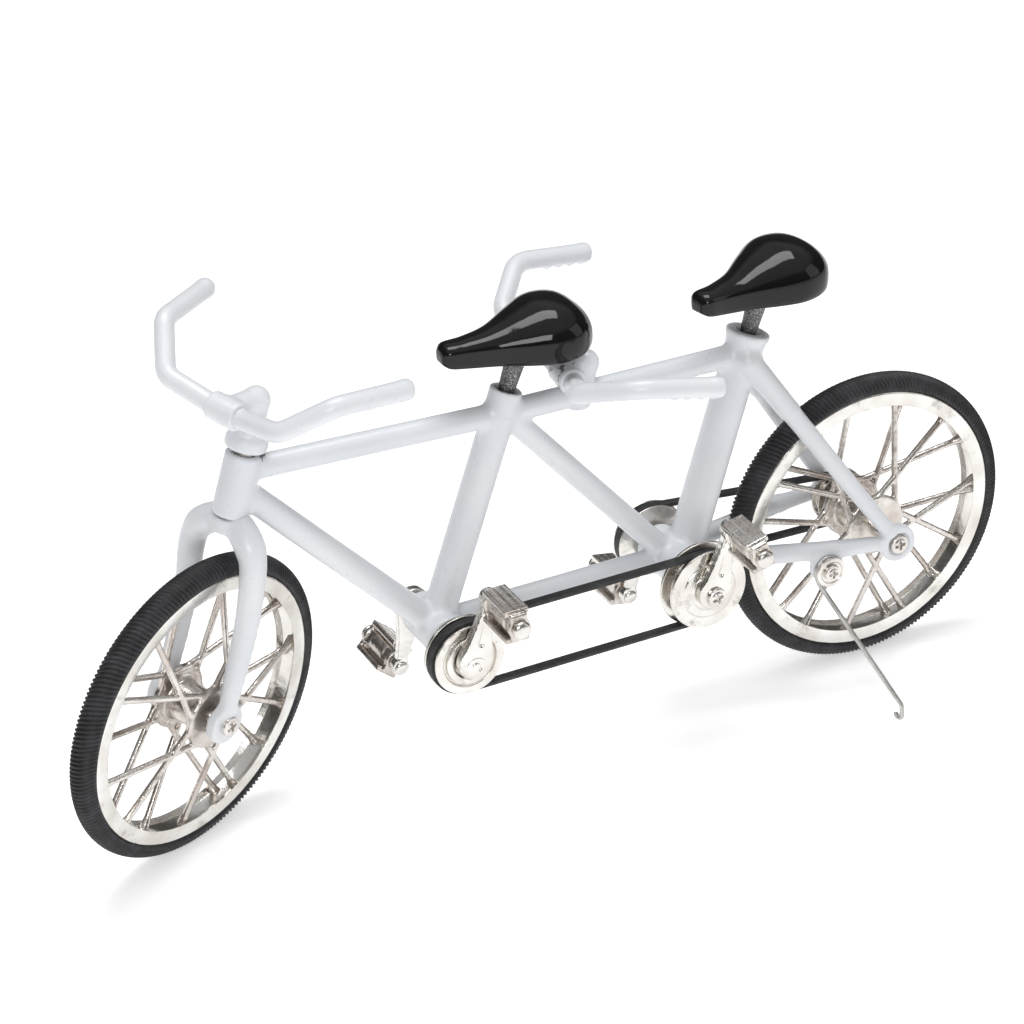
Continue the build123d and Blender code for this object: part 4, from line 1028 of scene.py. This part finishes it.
wire_path = kickstand_path()
wire_radius = np.full(len(wire_path), WIRE_R)
wire_radius[0] = wire_radius[-1] = WIRE_R * 0.55
vertices, faces = sweep(wire_path, wire_radius, 18)
piece("kickstand_wire", vertices, faces, "kickstand", "stand_wire", ("kickstand",))
washer_top = WASHER_Y - BUSHING_Y
profile = rounded([(0.5, -1.6), (0.6, 0), (2.1, 0), (2.1, 1.5), (3.1, 1.5), (3.1, washer_top),
                   (2.3, washer_top + 0.15), (2.15, washer_top - 0.1), (0.5, washer_top - 0.1)], 0.12)
bushing = lathe(facing(LUG[0], BUSHING_Y, LUG[2]), profile, 72)
head = facing(LUG[0], HEAD_Y, LUG[2]).out(SCREW_MESH[0] * 0.86)
vertices, faces = merged([bushing, (head, SCREW_MESH[1])])
piece("kickstand_bushing", vertices, faces, "frame", "nickel", ("kickstand_screw",), look=SCREW)


# ---------------------------------------------------------------- camera, light and floor
def look_at(camera, where, target, roll):
    back = (Vector(where) - Vector(target)).normalized()
    right = Vector((0, 0, 1)).cross(back).normalized()
    up = back.cross(right)
    turned_right = right * cos(roll) + up * sin(roll)
    turned_up = up * cos(roll) - right * sin(roll)
    axes = Matrix((turned_right, turned_up, back)).transposed().to_4x4()
    camera.matrix_world = Matrix.Translation(where) @ axes


data = bpy.data.cameras.new("camera")
data.sensor_width = 36.0
data.lens = 124.6
camera = bpy.data.objects.new("camera", data)
bpy.context.scene.collection.objects.link(camera)
look_at(camera, np.array([317.4, 508.1, 368.8]) * MM, np.array([74.94, 0.0, 51.86]) * MM, radians(-2.32))
bpy.context.scene.camera = camera


def area_light(name, where, target, size, power):
    light = bpy.data.lights.new(name, "AREA")
    light.shape = "RECTANGLE"
    light.size, light.size_y = size
    light.energy = power
    obj = bpy.data.objects.new(name, light)
    bpy.context.scene.collection.objects.link(obj)
    obj.location = where
    obj.rotation_euler = (Vector(target) - Vector(where)).to_track_quat("-Z", "Y").to_euler()


centre = (0.07, 0.0, 0.045)
area_light("overhead", (0.05, -0.1, 0.75), centre, (0.5, 0.3), 2.9)
area_light("key", (0.45, 0.62, 0.42), centre, (0.34, 0.26), 2.0)
area_light("fill", (-0.55, 0.45, 0.35), centre, (0.4, 0.5), 0.6)

world = bpy.data.worlds.new("studio")
bpy.context.scene.world = world
world.use_nodes = True
n = Nodes(world.node_tree)
direction = n.add("ShaderNodeTexCoord").outputs["Generated"]
height = n.add("ShaderNodeSeparateXYZ", Vector=direction).outputs["Z"]
sky = n.ramp(n.span(height, 0.0, 1.0, -0.1, 1.0), (0.0, (0.42, 0.41, 0.40)), (0.12, (0.07, 0.065, 0.06)),
             (0.58, (0.10, 0.10, 0.10)), (0.72, (0.50, 0.505, 0.515)), (1.0, (0.55, 0.555, 0.565)))
background = n.add("ShaderNodeBackground", Color=sky, Strength=1.0)
n.tree.links.new(background.outputs[0], n.add("ShaderNodeOutputWorld").inputs["Surface"])

floor_mesh = bpy.data.meshes.new("floor")
reach = 4.0
floor_mesh.from_pydata([(-reach, -reach, 0), (reach, -reach, 0), (reach, reach, 0), (-reach, reach, 0)], [],
                       [(0, 1, 2, 3)])
floor = bpy.data.objects.new("floor", floor_mesh)
bpy.context.scene.collection.objects.link(floor)
floor.location.z = -0.0002
made, n, coords = material("pale_floor")
n.surface(Base_Color=n.ramp(n.noise(coords, 3.0), (0.3, (0.95, 0.95, 0.955)), (0.7, (0.97, 0.97, 0.97))),
          Roughness=0.75, Emission_Color=(1, 1, 1, 1), Emission_Strength=0.42)
floor_mesh.materials.append(made)
bpy.context.scene.view_settings.view_transform = "Standard"
